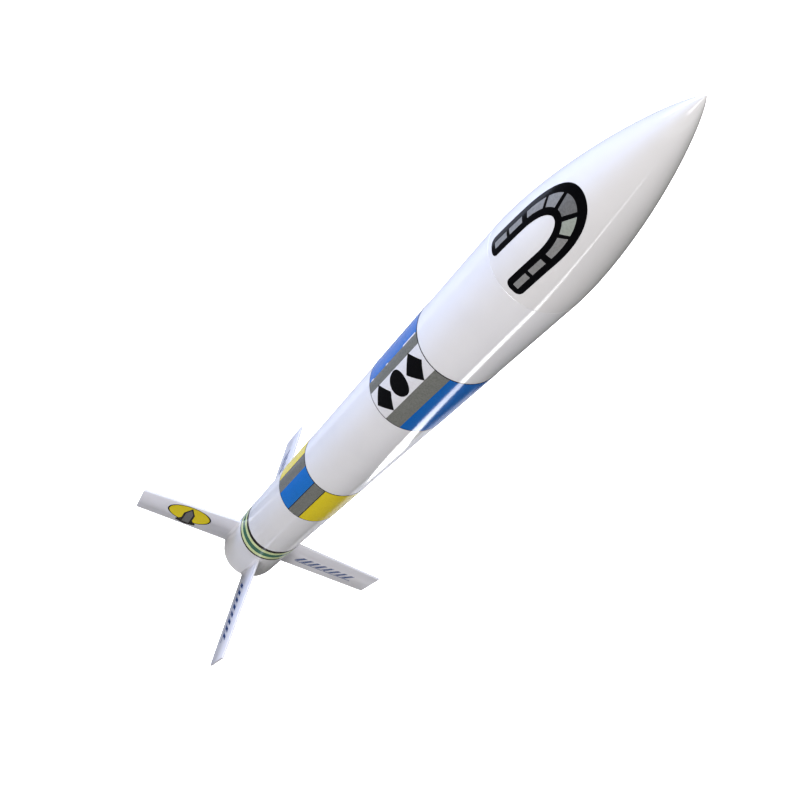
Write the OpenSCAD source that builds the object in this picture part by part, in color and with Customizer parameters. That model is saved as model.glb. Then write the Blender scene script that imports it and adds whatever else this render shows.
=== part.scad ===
// Model rocket with a paper body tube, a plastic nose cone that lifts off, four plywood fins
// set through the tube wall, and an 18 mm motor held by a screw-on retainer.
// It stands on its tail: +Z runs up to the nose, and the origin is the centre of the tail.
// Fins 1 to 4 point along -X, -Y, +X and +Y. The launch lugs lie between +X and +Y.

/* [Body tube] */
// Outside diameter of the body tube
tube_od = 41.6; // [34:0.1:56]
// Wall thickness of the body tube
tube_wall = 0.55; // [0.4:0.05:1]
// Length of the body tube
tube_len = 457.2; // [380:0.1:620]

/* [Nose cone] */
// Length of the nose cone in front of the tube
nose_len = 100; // [70:1:160]
// How full the nose is: 1 is a cone, 2 is close to an ellipse
nose_fullness = 1.6; // [1.3:0.05:2]
// How blunt the tip is: smaller is blunter
nose_bluntness = 0.8; // [0.6:0.05:1]
// Wall thickness of the nose cone
nose_wall = 1.2; // [0.8:0.1:2]
// Length of the shoulder that plugs into the tube
shoulder_len = 30; // [20:1:40]
// Visible gap between the nose cone and the tube
nose_seam = 0.2; // [0.1:0.05:0.4]

/* [Fins] */
// Distance from the tube wall to the fin tip
fin_span = 69.2; // [40:0.1:90]
// Length of the fin along the tube
root_chord = 51; // [42:0.5:62]
// Length of the fin at its tip
tip_chord = 41; // [30:0.5:50]
// Thickness of the fin
fin_t = 1.6; // [1:0.1:3]

/* [Motor mount] */
// Diameter of the motor
motor_d = 17.9; // [14:0.1:21.5]
// Length of the motor
motor_len = 70; // [58:1:84]
// Wall thickness of the motor case
case_wall = 2.5; // [1.5:0.1:3]
// Wall thickness of the motor tube
motor_tube_wall = 0.35; // [0.3:0.05:1]
// Thickness of each centering ring
ring_t = 3; // [1.5:0.1:4]
// Length of the thrust ring
thrust_len = 5; // [3:0.5:8]
// Length of the retainer cap
cap_len = 12; // [9:0.5:16]
// Wall thickness of the retainer cap
cap_wall = 1.6; // [1.2:0.1:2.4]
// Thickness of the lip that holds the motor in
cap_lip = 2; // [1:0.1:3]
// How far the cap stands inside the tail
cap_recess = 1; // [0.5:0.1:4]

/* [Launch lugs] */
// Bore of the launch lugs
lug_bore_d = 4; // [3.5:0.1:5.5]
// Wall thickness of the launch lugs
lug_wall = 0.4; // [0.3:0.05:0.8]
// Length of each launch lug
lug_len = 30; // [20:1:32]

/* [Bands] */
// Thickness of the wrap-around bands
band_t = 0.1; // [0.05:0.05:0.3]
// Height of the upper band
upper_band_h = 60; // [30:1:72]
// Distance from the nose joint down to the upper band
upper_band_drop = 69; // [50:1:80]
// Height of the lower band
lower_band_h = 56.4; // [30:0.1:60]
// Distance from the tail up to the lower band
lower_band_z = 162; // [140:1:164]
// Height of the tail band
tail_band_h = 24.2; // [15:0.1:28]
// Distance from the fin roots up to the tail band
tail_band_gap = 5; // [2:0.5:12]

/* [Recovery] */
// Length of the rolled parachute
parachute_len = 85; // [60:1:104]
// Length of the crumpled wadding
wadding_len = 25; // [15:1:35]
// Width of the elastic shock cord
cord_w = 6; // [4:0.5:8]
// Thickness of the shock cord
cord_t = 1; // [0.6:0.1:1.5]
// Distance from one fold of the shock cord to the next
fold_pitch = 4.5; // [3.5:0.1:5.4]
// Number of folded runs of shock cord
fold_runs = 22; // [12:2:24]
// Height of the folded paper anchor
anchor_h = 38; // [25:1:46]
// Thickness of the folded paper anchor
anchor_t = 1.4; // [1:0.1:2]

/* [Clearances] */
// Radial gap that lets the nose shoulder slide in the tube
shoulder_fit = 0.08; // [0.05:0.01:0.1]
// Radial gap that lets the motor slide in its tube
motor_fit = 0.06; // [0.03:0.01:0.1]
// Radial gap that lets the retainer cap turn on its ring
cap_fit = 0.08; // [0.05:0.01:0.1]
// Gap along the rocket between pieces that move apart
end_gap = 0.3; // [0.2:0.05:0.5]
// Thickness of a glue line between fixed pieces
glue = 0.06; // [0.03:0.01:0.12]
// Room beside the soft recovery pieces
bay_gap = 2.5; // [1.5:0.1:4]

/* [Hidden] */
$fn = 96;

tube_or = tube_od / 2;
tube_ir = tube_or - tube_wall;

// Motor mount, from the tail up
motor_r = motor_d / 2;
motor_tube_ir = motor_r + motor_fit;
motor_tube_or = motor_tube_ir + motor_tube_wall;
motor_z = cap_recess + cap_lip + end_gap;
motor_tube_z = motor_z + end_gap;
thrust_z = motor_z + motor_len + end_gap;
motor_tube_top = thrust_z + thrust_len + end_gap;
ring_barrel_r = motor_tube_or + glue + 1.2;
ring_ridge_r = ring_barrel_r + 0.5;
ring_len = cap_len - 1;
flange_t = 2;
cap_ir = ring_ridge_r + cap_fit;
cap_or = cap_ir + cap_wall;
cap_mouth_r = motor_r - 1.5;
cap_flutes = 20;
flute_r = 1.2;
flute_depth = 0.5;
flute_drop = 1.5;
aft_ring_z = motor_tube_z + ring_len + flange_t + glue;
fwd_ring_z = motor_tube_top - ring_t - 15;
thrust_bore_r = motor_r - 3;

// Fins
tab_z = aft_ring_z + ring_t + 1;
tab_top = root_chord - 6;
slot_gap = 0.1;

// Motor filling, from the nozzle up
bore_r = motor_r - case_wall;
fill_r = bore_r - glue;
nozzle_len = 0.17 * motor_len;
throat_r = 1.6;
flare_r = 3.1;
grain_len = 0.42 * motor_len;
delay_len = 0.2 * motor_len;
charge_len = 0.1 * motor_len;
case_cap_t = 2;
nozzle_z = motor_z + 1;
grain_z = nozzle_z + nozzle_len + glue;
delay_z = grain_z + grain_len + glue;
charge_z = delay_z + delay_len + glue;
case_cap_z = charge_z + charge_len + glue;

// Nose
shoulder_or = tube_ir - shoulder_fit;
shoulder_ir = shoulder_or - nose_wall;
shoulder_z = tube_len - shoulder_len;
nose_z = tube_len + nose_seam;
nose_steps = 36;
base_t = 2;
eye_h = 8;
eye_t = 3;
eye_hole_r = 1.7;

// Launch lugs
lug_or = lug_bore_d / 2 + lug_wall;
lug_r = tube_or + glue + lug_or;
lug_angle = 45;

// Bands
tail_band_z = root_chord + tail_band_gap;
upper_band_z = tube_len - upper_band_drop - upper_band_h;
lug_aft_z = tail_band_z + tail_band_h + 5;
lug_fwd_z = (lower_band_z + lower_band_h + upper_band_z - lug_len) / 2;

// Recovery pieces
wadding_z = motor_tube_top + 1;
parachute_z = wadding_z + wadding_len + 1;
parachute_r = tube_ir - bay_gap - 1.2;
wadding_r = tube_ir - bay_gap;
eye_z = shoulder_z - eye_h;
riser_h = 5;
stack_top = eye_z - end_gap - riser_h;
stack_z = stack_top - (fold_runs - 1) * fold_pitch;
fold_half = tube_ir - bay_gap - 4;
anchor_or = tube_ir - glue;
anchor_ir = anchor_or - anchor_t;
anchor_z = shoulder_z - anchor_h - 8;
lead_y = sqrt(pow(anchor_ir - glue, 2) - pow(cord_w / 2, 2)) - cord_t;
lead_top = anchor_z + anchor_h - 6;

// Radius of the nose at a share t of its length, from 0 at the tube to 1 at the tip
function nose_r(t) = tube_or * pow(1 - pow(t, nose_fullness), nose_bluntness);

// Shares of the nose length that lie closer together towards the tip
function nose_share(i) = sin(90 * i / nose_steps);

// Tube about the Z axis
module pipe(r_out, r_in, z, h) {
    translate([0, 0, z]) difference() {
        cylinder(r = r_out, h = h);
        translate([0, 0, -1]) cylinder(r = r_in, h = h + 2);
    }
}

// Solid roll about the Z axis with rounded ends
module soft_roll(r, z, h, round_r) {
    translate([0, 0, z]) rotate_extrude() {
        square([r - round_r, h]);
        translate([0, round_r]) square([r, h - 2 * round_r]);
        for (end = [round_r, h - round_r]) translate([r - round_r, end]) circle(round_r, $fn = 32);
    }
}

module body_tube() {
    color("white") difference() {
        pipe(tube_or, tube_ir, 0, tube_len);
        for (turn = [0:90:270]) rotate(turn)
            translate([tube_ir - 1, -fin_t / 2 - slot_gap, tab_z - slot_gap])
                cube([tube_wall + 2, fin_t + 2 * slot_gap, tab_top - tab_z + 2 * slot_gap]);
    }
}

module nose_cone() {
    outer = [for (i = [0:nose_steps]) [nose_r(nose_share(i)), nose_z + nose_len * nose_share(i)]];
    hollow_len = nose_len - 4 * nose_wall;
    inner = [for (i = [nose_steps:-1:0]) let (r = nose_r(nose_share(i)) - nose_wall)
        if (r > 0) [r, nose_z + hollow_len * nose_share(i)]];
    shoulder = [[shoulder_ir, shoulder_z], [shoulder_or, shoulder_z], [shoulder_or, nose_z]];
    color("white") rotate_extrude() polygon(concat(shoulder, outer, [[0, nose_z + hollow_len]],
        inner, [[shoulder_ir, nose_z]]));
}

module nose_base() {
    color("white") {
        translate([0, 0, shoulder_z]) cylinder(r = shoulder_ir - glue, h = base_t);
        difference() {
            translate([-eye_t / 2, -eye_h / 2, eye_z]) cube([eye_t, eye_h, eye_h + base_t / 2]);
            translate([0, 0, eye_z + eye_h / 2]) rotate([0, 90, 0])
                cylinder(r = eye_hole_r, h = eye_t + 2, center = true);
        }
    }
}

// One fin that points along +X, with its tab through the tube wall
module fin() {
    root_x = tube_or + glue;
    tip_x = tube_or + fin_span;
    tab_x = motor_tube_or + glue;
    color("white") rotate([90, 0, 0]) translate([0, 0, -fin_t / 2]) linear_extrude(fin_t) polygon([
        [tab_x, tab_z], [root_x, tab_z], [root_x, 0], [tip_x, 0], [tip_x, tip_chord],
        [root_x, root_chord], [root_x, tab_top], [tab_x, tab_top]]);
}

module fin_1() { rotate(180) fin(); }

module fin_2() { rotate(270) fin(); }

module fin_3() { fin(); }

module fin_4() { rotate(90) fin(); }

module motor_tube() {
    color("tan") pipe(motor_tube_or, motor_tube_ir, motor_tube_z, motor_tube_top - motor_tube_z);
}

// Plywood ring that holds the motor tube in the middle of the body tube
module centering_ring(z) {
    color("burlywood") pipe(tube_ir - glue, motor_tube_or + glue, z, ring_t);
}

module centering_ring_aft() { centering_ring(aft_ring_z); }

module centering_ring_fwd() { centering_ring(fwd_ring_z); }

module thrust_ring() {
    color("forestgreen") pipe(motor_tube_ir - glue, thrust_bore_r, thrust_z, thrust_len);
}

module retainer_ring() {
    bore = motor_tube_or + glue;
    color("dimgray") {
        pipe(ring_barrel_r, bore, motor_tube_z, ring_len);
        pipe(cap_or, bore, motor_tube_z + ring_len, flange_t);
        for (i = [0:2]) pipe(ring_ridge_r, bore, motor_tube_z + 1.5 + 3 * i, 1.2);
    }
}

module retainer_cap() {
    color("dimgray") difference() {
        union() {
            pipe(cap_or, cap_mouth_r, cap_recess, cap_lip);
            pipe(cap_or, cap_ir, cap_recess, cap_len - end_gap);
        }
        for (i = [1:cap_flutes]) rotate(i * 360 / cap_flutes)
            translate([cap_or + flute_r - flute_depth, 0, cap_recess + flute_drop])
                cylinder(r = flute_r, h = cap_len, $fn = 24);
    }
}

module motor_case() { color("peru") pipe(motor_r, bore_r, motor_z, motor_len); }

module clay_nozzle() {
    third = nozzle_len / 3;
    color("lightgray") translate([0, 0, nozzle_z]) rotate_extrude() polygon([
        [flare_r, 0], [fill_r, 0], [fill_r, nozzle_len], [fill_r - 1, nozzle_len],
        [throat_r, 2 * third], [throat_r, third]]);
}

// Plug of packed material inside the motor case
module case_fill(z, h) { translate([0, 0, z]) cylinder(r = fill_r, h = h); }

module propellant_grain() { color("dimgray") case_fill(grain_z, grain_len); }

module delay_grain() { color("gray") case_fill(delay_z, delay_len); }

module ejection_charge() { color("black") case_fill(charge_z, charge_len); }

module case_cap() { color("lightgray") case_fill(case_cap_z, case_cap_t); }

module launch_lug(z) {
    color("white") rotate(lug_angle) translate([lug_r, 0, 0]) pipe(lug_or, lug_bore_d / 2, z, lug_len);
}

module launch_lug_aft() { launch_lug(lug_aft_z); }

module launch_lug_fwd() { launch_lug(lug_fwd_z); }

module band(z, h) { pipe(tube_or + band_t, tube_or, z, h); }

module upper_band() { color("royalblue") band(upper_band_z, upper_band_h); }

module lower_band() { color("gold") band(lower_band_z, lower_band_h); }

module tail_band() { color("darkslategray") band(tail_band_z, tail_band_h); }

// Folded paper tab that is glued to the inside of the tube and traps the end of the shock cord
module shock_cord_anchor() {
    color("ivory") rotate(60) translate([0, 0, anchor_z]) rotate_extrude(angle = 60)
        translate([anchor_ir, 0]) square([anchor_t, anchor_h]);
}

// Side view of the folded shock cord: X is across the tube and Y is up
module cord_folds() {
    half = cord_t / 2;
    for (i = [0:fold_runs - 1]) {
        first = i == 0 ? 0 : -fold_half;
        last = i == fold_runs - 1 ? 0 : fold_half;
        from = i % 2 == 0 ? first : -last;
        to = i % 2 == 0 ? last : -first;
        translate([from, i * fold_pitch - half]) square([to - from, cord_t]);
    }
    for (i = [0:fold_runs - 2]) {
        side = i % 2 == 0 ? 1 : -1;
        translate([side * fold_half, (i + 0.5) * fold_pitch]) intersection() {
            difference() {
                circle(fold_pitch / 2 + half, $fn = 32);
                circle(fold_pitch / 2 - half, $fn = 32);
            }
            translate([side * fold_pitch / 2, 0]) square([fold_pitch, 2 * fold_pitch], center = true);
        }
    }
}

module shock_cord() {
    color("beige") {
        translate([-cord_w / 2, lead_y, stack_z - cord_t / 2])
            cube([cord_w, cord_t, lead_top - stack_z + cord_t / 2]);
        translate([-cord_w / 2, 0, stack_z - cord_t / 2]) cube([cord_w, lead_y + cord_t, cord_t]);
        translate([0, cord_w / 2, stack_z]) rotate([90, 0, 0]) linear_extrude(cord_w) cord_folds();
        translate([-cord_t / 2, -cord_w / 2, stack_top - cord_t / 2])
            cube([cord_t, cord_w, riser_h + cord_t / 2]);
    }
}

module parachute() { color("orangered") soft_roll(parachute_r, parachute_z, parachute_len, 4); }

module recovery_wadding() { color("lightcyan") soft_roll(wadding_r, wadding_z, wadding_len, 6); }

body_tube();
nose_cone();
nose_base();
fin_1();
fin_2();
fin_3();
fin_4();
motor_tube();
centering_ring_aft();
centering_ring_fwd();
thrust_ring();
retainer_ring();
retainer_cap();
motor_case();
clay_nozzle();
propellant_grain();
delay_grain();
ejection_charge();
case_cap();
launch_lug_aft();
launch_lug_fwd();
upper_band();
lower_band();
tail_band();
shock_cord_anchor();
shock_cord();
parachute();
recovery_wadding();
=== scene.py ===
"""Looks of a model rocket that stands on its tail, in metres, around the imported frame.

+Z runs up to the nose and the origin is the centre of the tail. Fins 1 to 4 point along -X, -Y, +X
and +Y. Azimuths are in degrees, anticlockwise from +X seen from the nose.
"""

from __future__ import annotations

import logging
import math
from collections.abc import Callable, Sequence
from dataclasses import dataclass, field
from enum import Enum

import bmesh
import bpy
from mathutils import Matrix, Vector, noise


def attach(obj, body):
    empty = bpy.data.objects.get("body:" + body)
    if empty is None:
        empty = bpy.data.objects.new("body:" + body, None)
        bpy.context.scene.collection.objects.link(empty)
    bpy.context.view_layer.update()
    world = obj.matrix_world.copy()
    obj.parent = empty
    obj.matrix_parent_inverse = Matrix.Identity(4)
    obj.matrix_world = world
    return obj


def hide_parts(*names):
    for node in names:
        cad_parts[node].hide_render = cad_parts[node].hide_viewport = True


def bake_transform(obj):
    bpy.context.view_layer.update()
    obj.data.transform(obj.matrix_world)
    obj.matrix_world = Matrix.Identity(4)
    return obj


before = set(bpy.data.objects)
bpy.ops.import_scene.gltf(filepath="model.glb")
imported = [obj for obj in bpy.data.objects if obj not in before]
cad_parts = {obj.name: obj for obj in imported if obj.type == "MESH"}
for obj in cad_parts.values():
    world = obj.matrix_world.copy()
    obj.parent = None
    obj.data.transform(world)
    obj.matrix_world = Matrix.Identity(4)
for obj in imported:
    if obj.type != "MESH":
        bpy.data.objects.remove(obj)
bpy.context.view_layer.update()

MM = 0.001
WAVES_PER_SCALE = 3.14  # How often a wave texture repeats in a metre, at a scale of 1.
LOG = logging.getLogger("model_rocket")
Point = tuple[float, float, float]
Flat = tuple[float, float]
Arch = tuple[float, float, float, float]
Placer = Callable[[float, float, float], Point]
Faces = list[tuple[int, ...]]
Tree = bpy.types.NodeTree
Node = bpy.types.Node
Socket = bpy.types.NodeSocket
Thing = bpy.types.Object


class Body(Enum):
    """The CAD bodies that pieces ride on."""

    AIRFRAME = "airframe"
    NOSE = "nose"
    MOTOR = "motor"
    CAP = "retainer_cap"


class Turn(Enum):
    """Which way each fin points: degrees from +X."""

    FIN_1 = 180.0
    FIN_2 = 270.0
    FIN_3 = 0.0
    FIN_4 = 90.0


class Emblem(Enum):
    """Plain shapes that stand on the white field of the upper band."""

    DIAMOND = "diamond"
    DISC = "disc"


# ---------------------------------------------------------------- node helpers


def add_node(tree: Tree, kind: str, inputs: dict | None = None, **settings: object) -> Node:
    """Add a node with its settings, and fill or link its inputs.

    Args:
        tree: The tree that gets the node.
        kind: The node's type name.
        inputs: Socket name or index to a value, or to the output socket that feeds it.
        settings: Properties of the node itself.

    Returns:
        The new node.
    """
    node = tree.nodes.new(kind)
    for name, value in settings.items():
        setattr(node, name, value)
    for name, value in (inputs or {}).items():
        if isinstance(value, Socket):
            tree.links.new(value, node.inputs[name])
        else:
            node.inputs[name].default_value = value
    return node


def linear(hex_colour: str) -> tuple[float, float, float, float]:
    """Turn an sRGB hex colour such as #1f66be into linear RGBA."""
    parts = [int(hex_colour[i : i + 2], 16) / 255 for i in (1, 3, 5)]
    return (*(c / 12.92 if c <= 0.04045 else ((c + 0.055) / 1.055) ** 2.4 for c in parts), 1.0)


def per_mm(size: float) -> float:
    """Scale of a pattern on Object coordinates whose cells are size millimetres wide."""
    return 1 / (size * MM)


def ramp(tree: Tree, factor: Socket, stops: Sequence[tuple[float, str]]) -> Socket:
    """Add a colour ramp.

    Args:
        tree: The material's tree.
        factor: What the ramp reads.
        stops: Positions from 0 to 1 and their sRGB hex colours.

    Returns:
        The ramp's colour output.
    """
    node = add_node(tree, "ShaderNodeValToRGB", {0: factor})
    bar = node.color_ramp.elements
    while len(bar) < len(stops):
        bar.new(0.5)
    for element, (position, colour) in zip(bar, stops):
        element.position, element.color = position, linear(colour)
    return node.outputs["Color"]


def place_of(tree: Tree, kind: str = "Object") -> Socket:
    """Give coordinates in metres: the piece's own, or its UV map."""
    return add_node(tree, "ShaderNodeTexCoord").outputs[kind]


def drawn_out(tree: Tree, scale: Point) -> Socket:
    """Give the piece's own coordinates, stretched so that a pattern runs along one way."""
    return add_node(tree, "ShaderNodeMapping", {"Vector": place_of(tree), "Scale": scale}).outputs[0]


def cloud(tree: Tree, vector: Socket, size: float, detail: float, **inputs: float) -> Socket:
    """Give a noise whose patches are size millimetres wide.

    Args:
        tree: The material's tree.
        vector: Coordinates in metres.
        size: Width of a patch in millimetres.
        detail: How many finer octaves the patches have.
        inputs: Any other input of the noise.

    Returns:
        The noise, from 0 to 1.
    """
    return add_node(
        tree, "ShaderNodeTexNoise", {"Vector": vector, "Scale": per_mm(size), "Detail": detail, **inputs}
    ).outputs["Fac"]


def waves(tree: Tree, vector: Socket, size: float, direction: str, **inputs: float) -> Socket:
    """Give parallel bands that run across one direction.

    Args:
        tree: The material's tree.
        vector: Coordinates in metres.
        size: Distance from one band to the next in millimetres.
        direction: The direction, as the node names it.
        inputs: Any other input, with underscores for spaces.

    Returns:
        The bands, from 0 to 1.
    """
    others = {name.replace("_", " "): value for name, value in inputs.items()}
    values = {"Vector": vector, "Scale": per_mm(size) / WAVES_PER_SCALE} | others
    return add_node(tree, "ShaderNodeTexWave", values, bands_direction=direction).outputs["Fac"]


def product(tree: Tree, first: Socket, second: Socket | float) -> Socket:
    """Multiply two values of a material."""
    return add_node(tree, "ShaderNodeMath", {0: first, 1: second}, operation="MULTIPLY").outputs[0]


# ---------------------------------------------------------------- finishes


@dataclass(frozen=True)
class Finish:
    """A finish: one material, with the values that every finish has."""

    name: str
    colour: str
    shade: str
    roughness: float = 0.5
    ior: float = 1.5

    def pattern(self, tree: Tree, shader: Node) -> None:
        """Draw the finish on the shader: each kind of finish has its own."""
        raise NotImplementedError

    def material(self) -> bpy.types.Material:
        """Build the material once, and give the same one from then on.

        Returns:
            The material.
        """
        known = bpy.data.materials.get(self.name)
        if known:
            return known
        material = bpy.data.materials.new(self.name)
        material.use_nodes = True
        tree = material.node_tree
        tree.nodes.clear()
        shader = add_node(
            tree,
            "ShaderNodeBsdfPrincipled",
            {"Base Color": linear(self.colour), "Roughness": self.roughness, "IOR": self.ior},
        )
        add_node(tree, "ShaderNodeOutputMaterial", {"Surface": shader.outputs[0]})
        material.diffuse_color = linear(self.colour)
        self.pattern(tree, shader)
        return material

    def mottle(
        self, tree: Tree, shader: Node, vector: Socket, size: float, low: float, high: float, detail: float = 3.0
    ) -> Socket:
        """Vary the base colour between shade and colour.

        Args:
            tree: The material's tree.
            shader: The shader that gets the colour.
            vector: Coordinates in metres.
            size: Width of a patch in millimetres.
            low: Where the shade ends.
            high: Where the full colour starts.
            detail: How many finer octaves the patches have.

        Returns:
            The noise's factor output.
        """
        patches = cloud(tree, vector, size, detail)
        self.tint(tree, shader, patches, [(low, self.shade), (high, self.colour)])
        return patches

    def tint(self, tree: Tree, shader: Node, factor: Socket, stops: Sequence[tuple[float, str]]) -> None:
        """Give the base colour from a ramp that reads the factor.

        Args:
            tree: The material's tree.
            shader: The shader that gets the colour.
            factor: What the ramp reads.
            stops: Positions from 0 to 1 and their sRGB hex colours.
        """
        tree.links.new(ramp(tree, factor, stops), shader.inputs["Base Color"])

    def bump(self, tree: Tree, shader: Node, height: Socket, depth: float) -> None:
        """Raise the surface by height.

        Args:
            tree: The material's tree.
            shader: The shader that gets the normal.
            height: Output socket with the height from 0 to 1.
            depth: How deep 1 is, in millimetres.
        """
        raised = add_node(tree, "ShaderNodeBump", {"Height": height, "Distance": depth * MM})
        tree.links.new(raised.outputs["Normal"], shader.inputs["Normal"])


@dataclass(frozen=True)
class GlossEnamel(Finish):
    """Sprayed white enamel over filled paper, ply or plastic: wet gloss with a faint orange peel."""

    peel: float = 2.6
    peel_depth: float = 0.006

    def pattern(self, tree: Tree, shader: Node) -> None:
        """Orange peel about 2.6 mm across, and a gloss that is a little uneven.

        Args:
            tree: The material's tree.
            shader: The shader that the pattern feeds.
        """
        place = place_of(tree)
        self.mottle(tree, shader, place, 38, 0.3, 0.6)
        self.bump(tree, shader, cloud(tree, place, self.peel, 1.5), self.peel_depth)
        haze = cloud(tree, place, 16, 4.0)
        gloss = add_node(
            tree, "ShaderNodeMapRange", {"Value": haze, 3: self.roughness * 0.7, 4: self.roughness * 1.4}
        )
        tree.links.new(gloss.outputs[0], shader.inputs["Roughness"])


@dataclass(frozen=True)
class PrintedFilm(Finish):
    """Water-slide decal film: even ink under a satin clear coat, with slight density specks."""

    grain: float = 0.8

    def pattern(self, tree: Tree, shader: Node) -> None:
        """Ink specks, drawn 0.8 mm coarse where real dots are 0.1 mm, so that they show.

        Args:
            tree: The material's tree.
            shader: The shader that the pattern feeds.
        """
        place = place_of(tree)
        specks = self.mottle(tree, shader, place, self.grain, 0.32, 0.6, 2.0)
        self.bump(tree, shader, specks, 0.004)


@dataclass(frozen=True)
class KraftPaper(Finish):
    """Spiral-wound kraft paper: dull brown, with fibres that run round the tube."""

    def pattern(self, tree: Tree, shader: Node) -> None:
        """Draw fibres about 0.7 mm thick and 4.4 mm long, coarser than real ones, so that they show."""
        fibres = self.mottle(tree, shader, drawn_out(tree, (0.25, 0.25, 1.6)), 1.1, 0.3, 0.7, 6.0)
        self.bump(tree, shader, fibres, 0.05)


@dataclass(frozen=True)
class BirchPly(Finish):
    """Laser-cut birch plywood: pale veneers with thin darker glue lines and scorched edges."""

    veneer: float = 1.0

    def pattern(self, tree: Tree, shader: Node) -> None:
        """Draw thin veneers across Z, with grain 0.9 mm wide along them.

        Args:
            tree: The material's tree.
            shader: The shader that the pattern feeds.
        """
        grain = self.mottle(tree, shader, drawn_out(tree, (0.12, 1.0, 1.0)), 0.9, 0.35, 0.62, 5.0)
        layers = waves(tree, place_of(tree), self.veneer, "Z", Distortion=0.3)
        self.bump(tree, shader, product(tree, grain, layers), 0.08)


@dataclass(frozen=True)
class MouldedNylon(Finish):
    """Injection-moulded nylon: half-matt with the fine spark-eroded grain of its mould."""

    grit: float = 0.45

    def pattern(self, tree: Tree, shader: Node) -> None:
        """Mould grain, drawn 0.45 mm coarse where the real one is 0.1 mm, so that it shows.

        Args:
            tree: The material's tree.
            shader: The shader that the pattern feeds.
        """
        place = place_of(tree)
        self.mottle(tree, shader, place, 9, 0.3, 0.7)
        pits = add_node(tree, "ShaderNodeTexVoronoi", {"Vector": place, "Scale": per_mm(self.grit)})
        self.bump(tree, shader, pits.outputs["Distance"], 0.03)


@dataclass(frozen=True)
class WovenElastic(Finish):
    """Flat braided elastic: ribs along the band with a chevron of yarns across them."""

    ribs: float = 4.0
    width: float = 6.0
    yarn: float = 1.6

    def pattern(self, tree: Tree, shader: Node) -> None:
        """Read the band's own UV map: U is the length and V the width, both in metres; the weave's hollows get
        painted shade.

        Args:
            tree: The material's tree.
            shader: The shader that the pattern feeds.
        """
        uv = place_of(tree, "UV")
        ribs = waves(tree, uv, self.width / self.ribs, "Y")
        yarns = waves(tree, uv, self.yarn, "DIAGONAL", Distortion=0.6, Detail_Scale=3.0)
        weave_height_and_painted_shade = product(tree, ribs, yarns)
        # Painted shade: the weave that lowers the hollows also darkens them to the shade colour.
        self.tint(tree, shader, weave_height_and_painted_shade, [(0.0, self.shade), (0.7, self.colour)])
        self.bump(tree, shader, weave_height_and_painted_shade, 0.2)


@dataclass(frozen=True)
class CanopyFilm(Finish):
    """Thin coloured polythene film, folded and rolled: soft shine with creases."""

    gore: float = 28.0

    def pattern(self, tree: Tree, shader: Node) -> None:
        """Creases 5 mm apart, and printed gores 28 mm wide along the film's own UV map.

        Args:
            tree: The material's tree.
            shader: The shader that the pattern feeds.
        """
        uv = place_of(tree, "UV")
        gores = waves(tree, uv, 2 * self.gore, "X")
        edge = [(0.0, self.colour), (0.49, self.colour), (0.51, self.shade), (1.0, self.shade)]
        self.tint(tree, shader, gores, edge)
        self.bump(tree, shader, cloud(tree, uv, 5, 5.0, Roughness=0.6), 0.6)


@dataclass(frozen=True)
class CrepeTissue(Finish):
    """Flame-proof crepe tissue: matt off-white with tight crinkles."""

    crinkle: float = 1.4

    def pattern(self, tree: Tree, shader: Node) -> None:
        """Crinkles 1.4 mm apart, with painted shade in their folds: the noise that lowers the folds also darkens
        them.

        Args:
            tree: The material's tree.
            shader: The shader that the pattern feeds.
        """
        place = place_of(tree)
        # Painted shade: the crinkle noise darkens the tissue towards its shade colour where the bump is low.
        folds = self.mottle(tree, shader, place, self.crinkle, 0.3, 0.55, 6.0)
        self.bump(tree, shader, folds, 0.35)


@dataclass(frozen=True)
class PressedGrain(Finish):
    """Clay or powder rammed into a case: dull, granular, with a few bigger grains."""

    grit: float = 0.5

    def pattern(self, tree: Tree, shader: Node) -> None:
        """Grains half a millimetre wide, each with its own shade.

        Args:
            tree: The material's tree.
            shader: The shader that the pattern feeds.
        """
        place = place_of(tree)
        grains = add_node(tree, "ShaderNodeTexVoronoi", {"Vector": place, "Scale": per_mm(self.grit)})
        self.tint(tree, shader, grains.outputs["Color"], [(0.2, self.shade), (0.8, self.colour)])
        self.bump(tree, shader, grains.outputs["Distance"], 0.08)


@dataclass(frozen=True)
class WrappedCase(Finish):
    """Motor case: wound kraft paper with one printed zone round its middle."""

    ink: str = "#7a1f2b"
    low: float = 14.0
    high: float = 60.0
    top: float = 75.0
    rule: float = 0.012

    def pattern(self, tree: Tree, shader: Node) -> None:
        """Kraft fibres, and ink between two heights with hairline rules above and below it.

        Args:
            tree: The material's tree.
            shader: The shader that the pattern feeds.
        """
        place = place_of(tree)
        height = add_node(tree, "ShaderNodeSeparateXYZ", {0: place}).outputs["Z"]
        share = product(tree, height, 1 / (self.top * MM))
        low, high, rule = self.low / self.top, self.high / self.top, self.rule
        stops = [
            (0.0, self.colour),
            (low - 2 * rule, self.ink),
            (low - rule, self.colour),
            (low, self.ink),
            (high, self.colour),
            (high + rule, self.ink),
            (high + 2 * rule, self.colour),
        ]
        colour = ramp(tree, share, stops)
        colour.node.color_ramp.interpolation = "CONSTANT"
        fibres = cloud(tree, place, 0.9, 5.0)
        worn = add_node(
            tree,
            "ShaderNodeMix",
            {0: fibres, 6: colour, 7: linear(self.shade)},
            data_type="RGBA",
            blend_type="MULTIPLY",
        )
        tree.links.new(worn.outputs[2], shader.inputs["Base Color"])
        self.bump(tree, shader, fibres, 0.04)


# White enamel, wet gloss: it shows the lights as long clean streaks.
WHITE_TUBE = GlossEnamel("white_enamel_on_paper_tube", "#efefed", "#ebebea", 0.10, 1.5)
WHITE_NOSE = GlossEnamel("white_enamel_on_moulded_nose", "#eae9e5", "#e6e5e1", 0.09, 1.5, 3.2)
WHITE_FIN = GlossEnamel("white_enamel_on_sanded_ply_fin", "#e9e9ec", "#e3e3e6", 0.22, 1.5, 1.6, 0.01)
WHITE_LUG = GlossEnamel("white_enamel_on_rolled_paper_lug", "#eae9e5", "#eaeae9", 0.16, 1.5)
FILLET_GLUE = GlossEnamel("white_enamel_over_glue_fillet", "#ececee", "#e4e4e7", 0.2, 1.5, 4.0, 0.02)
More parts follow.
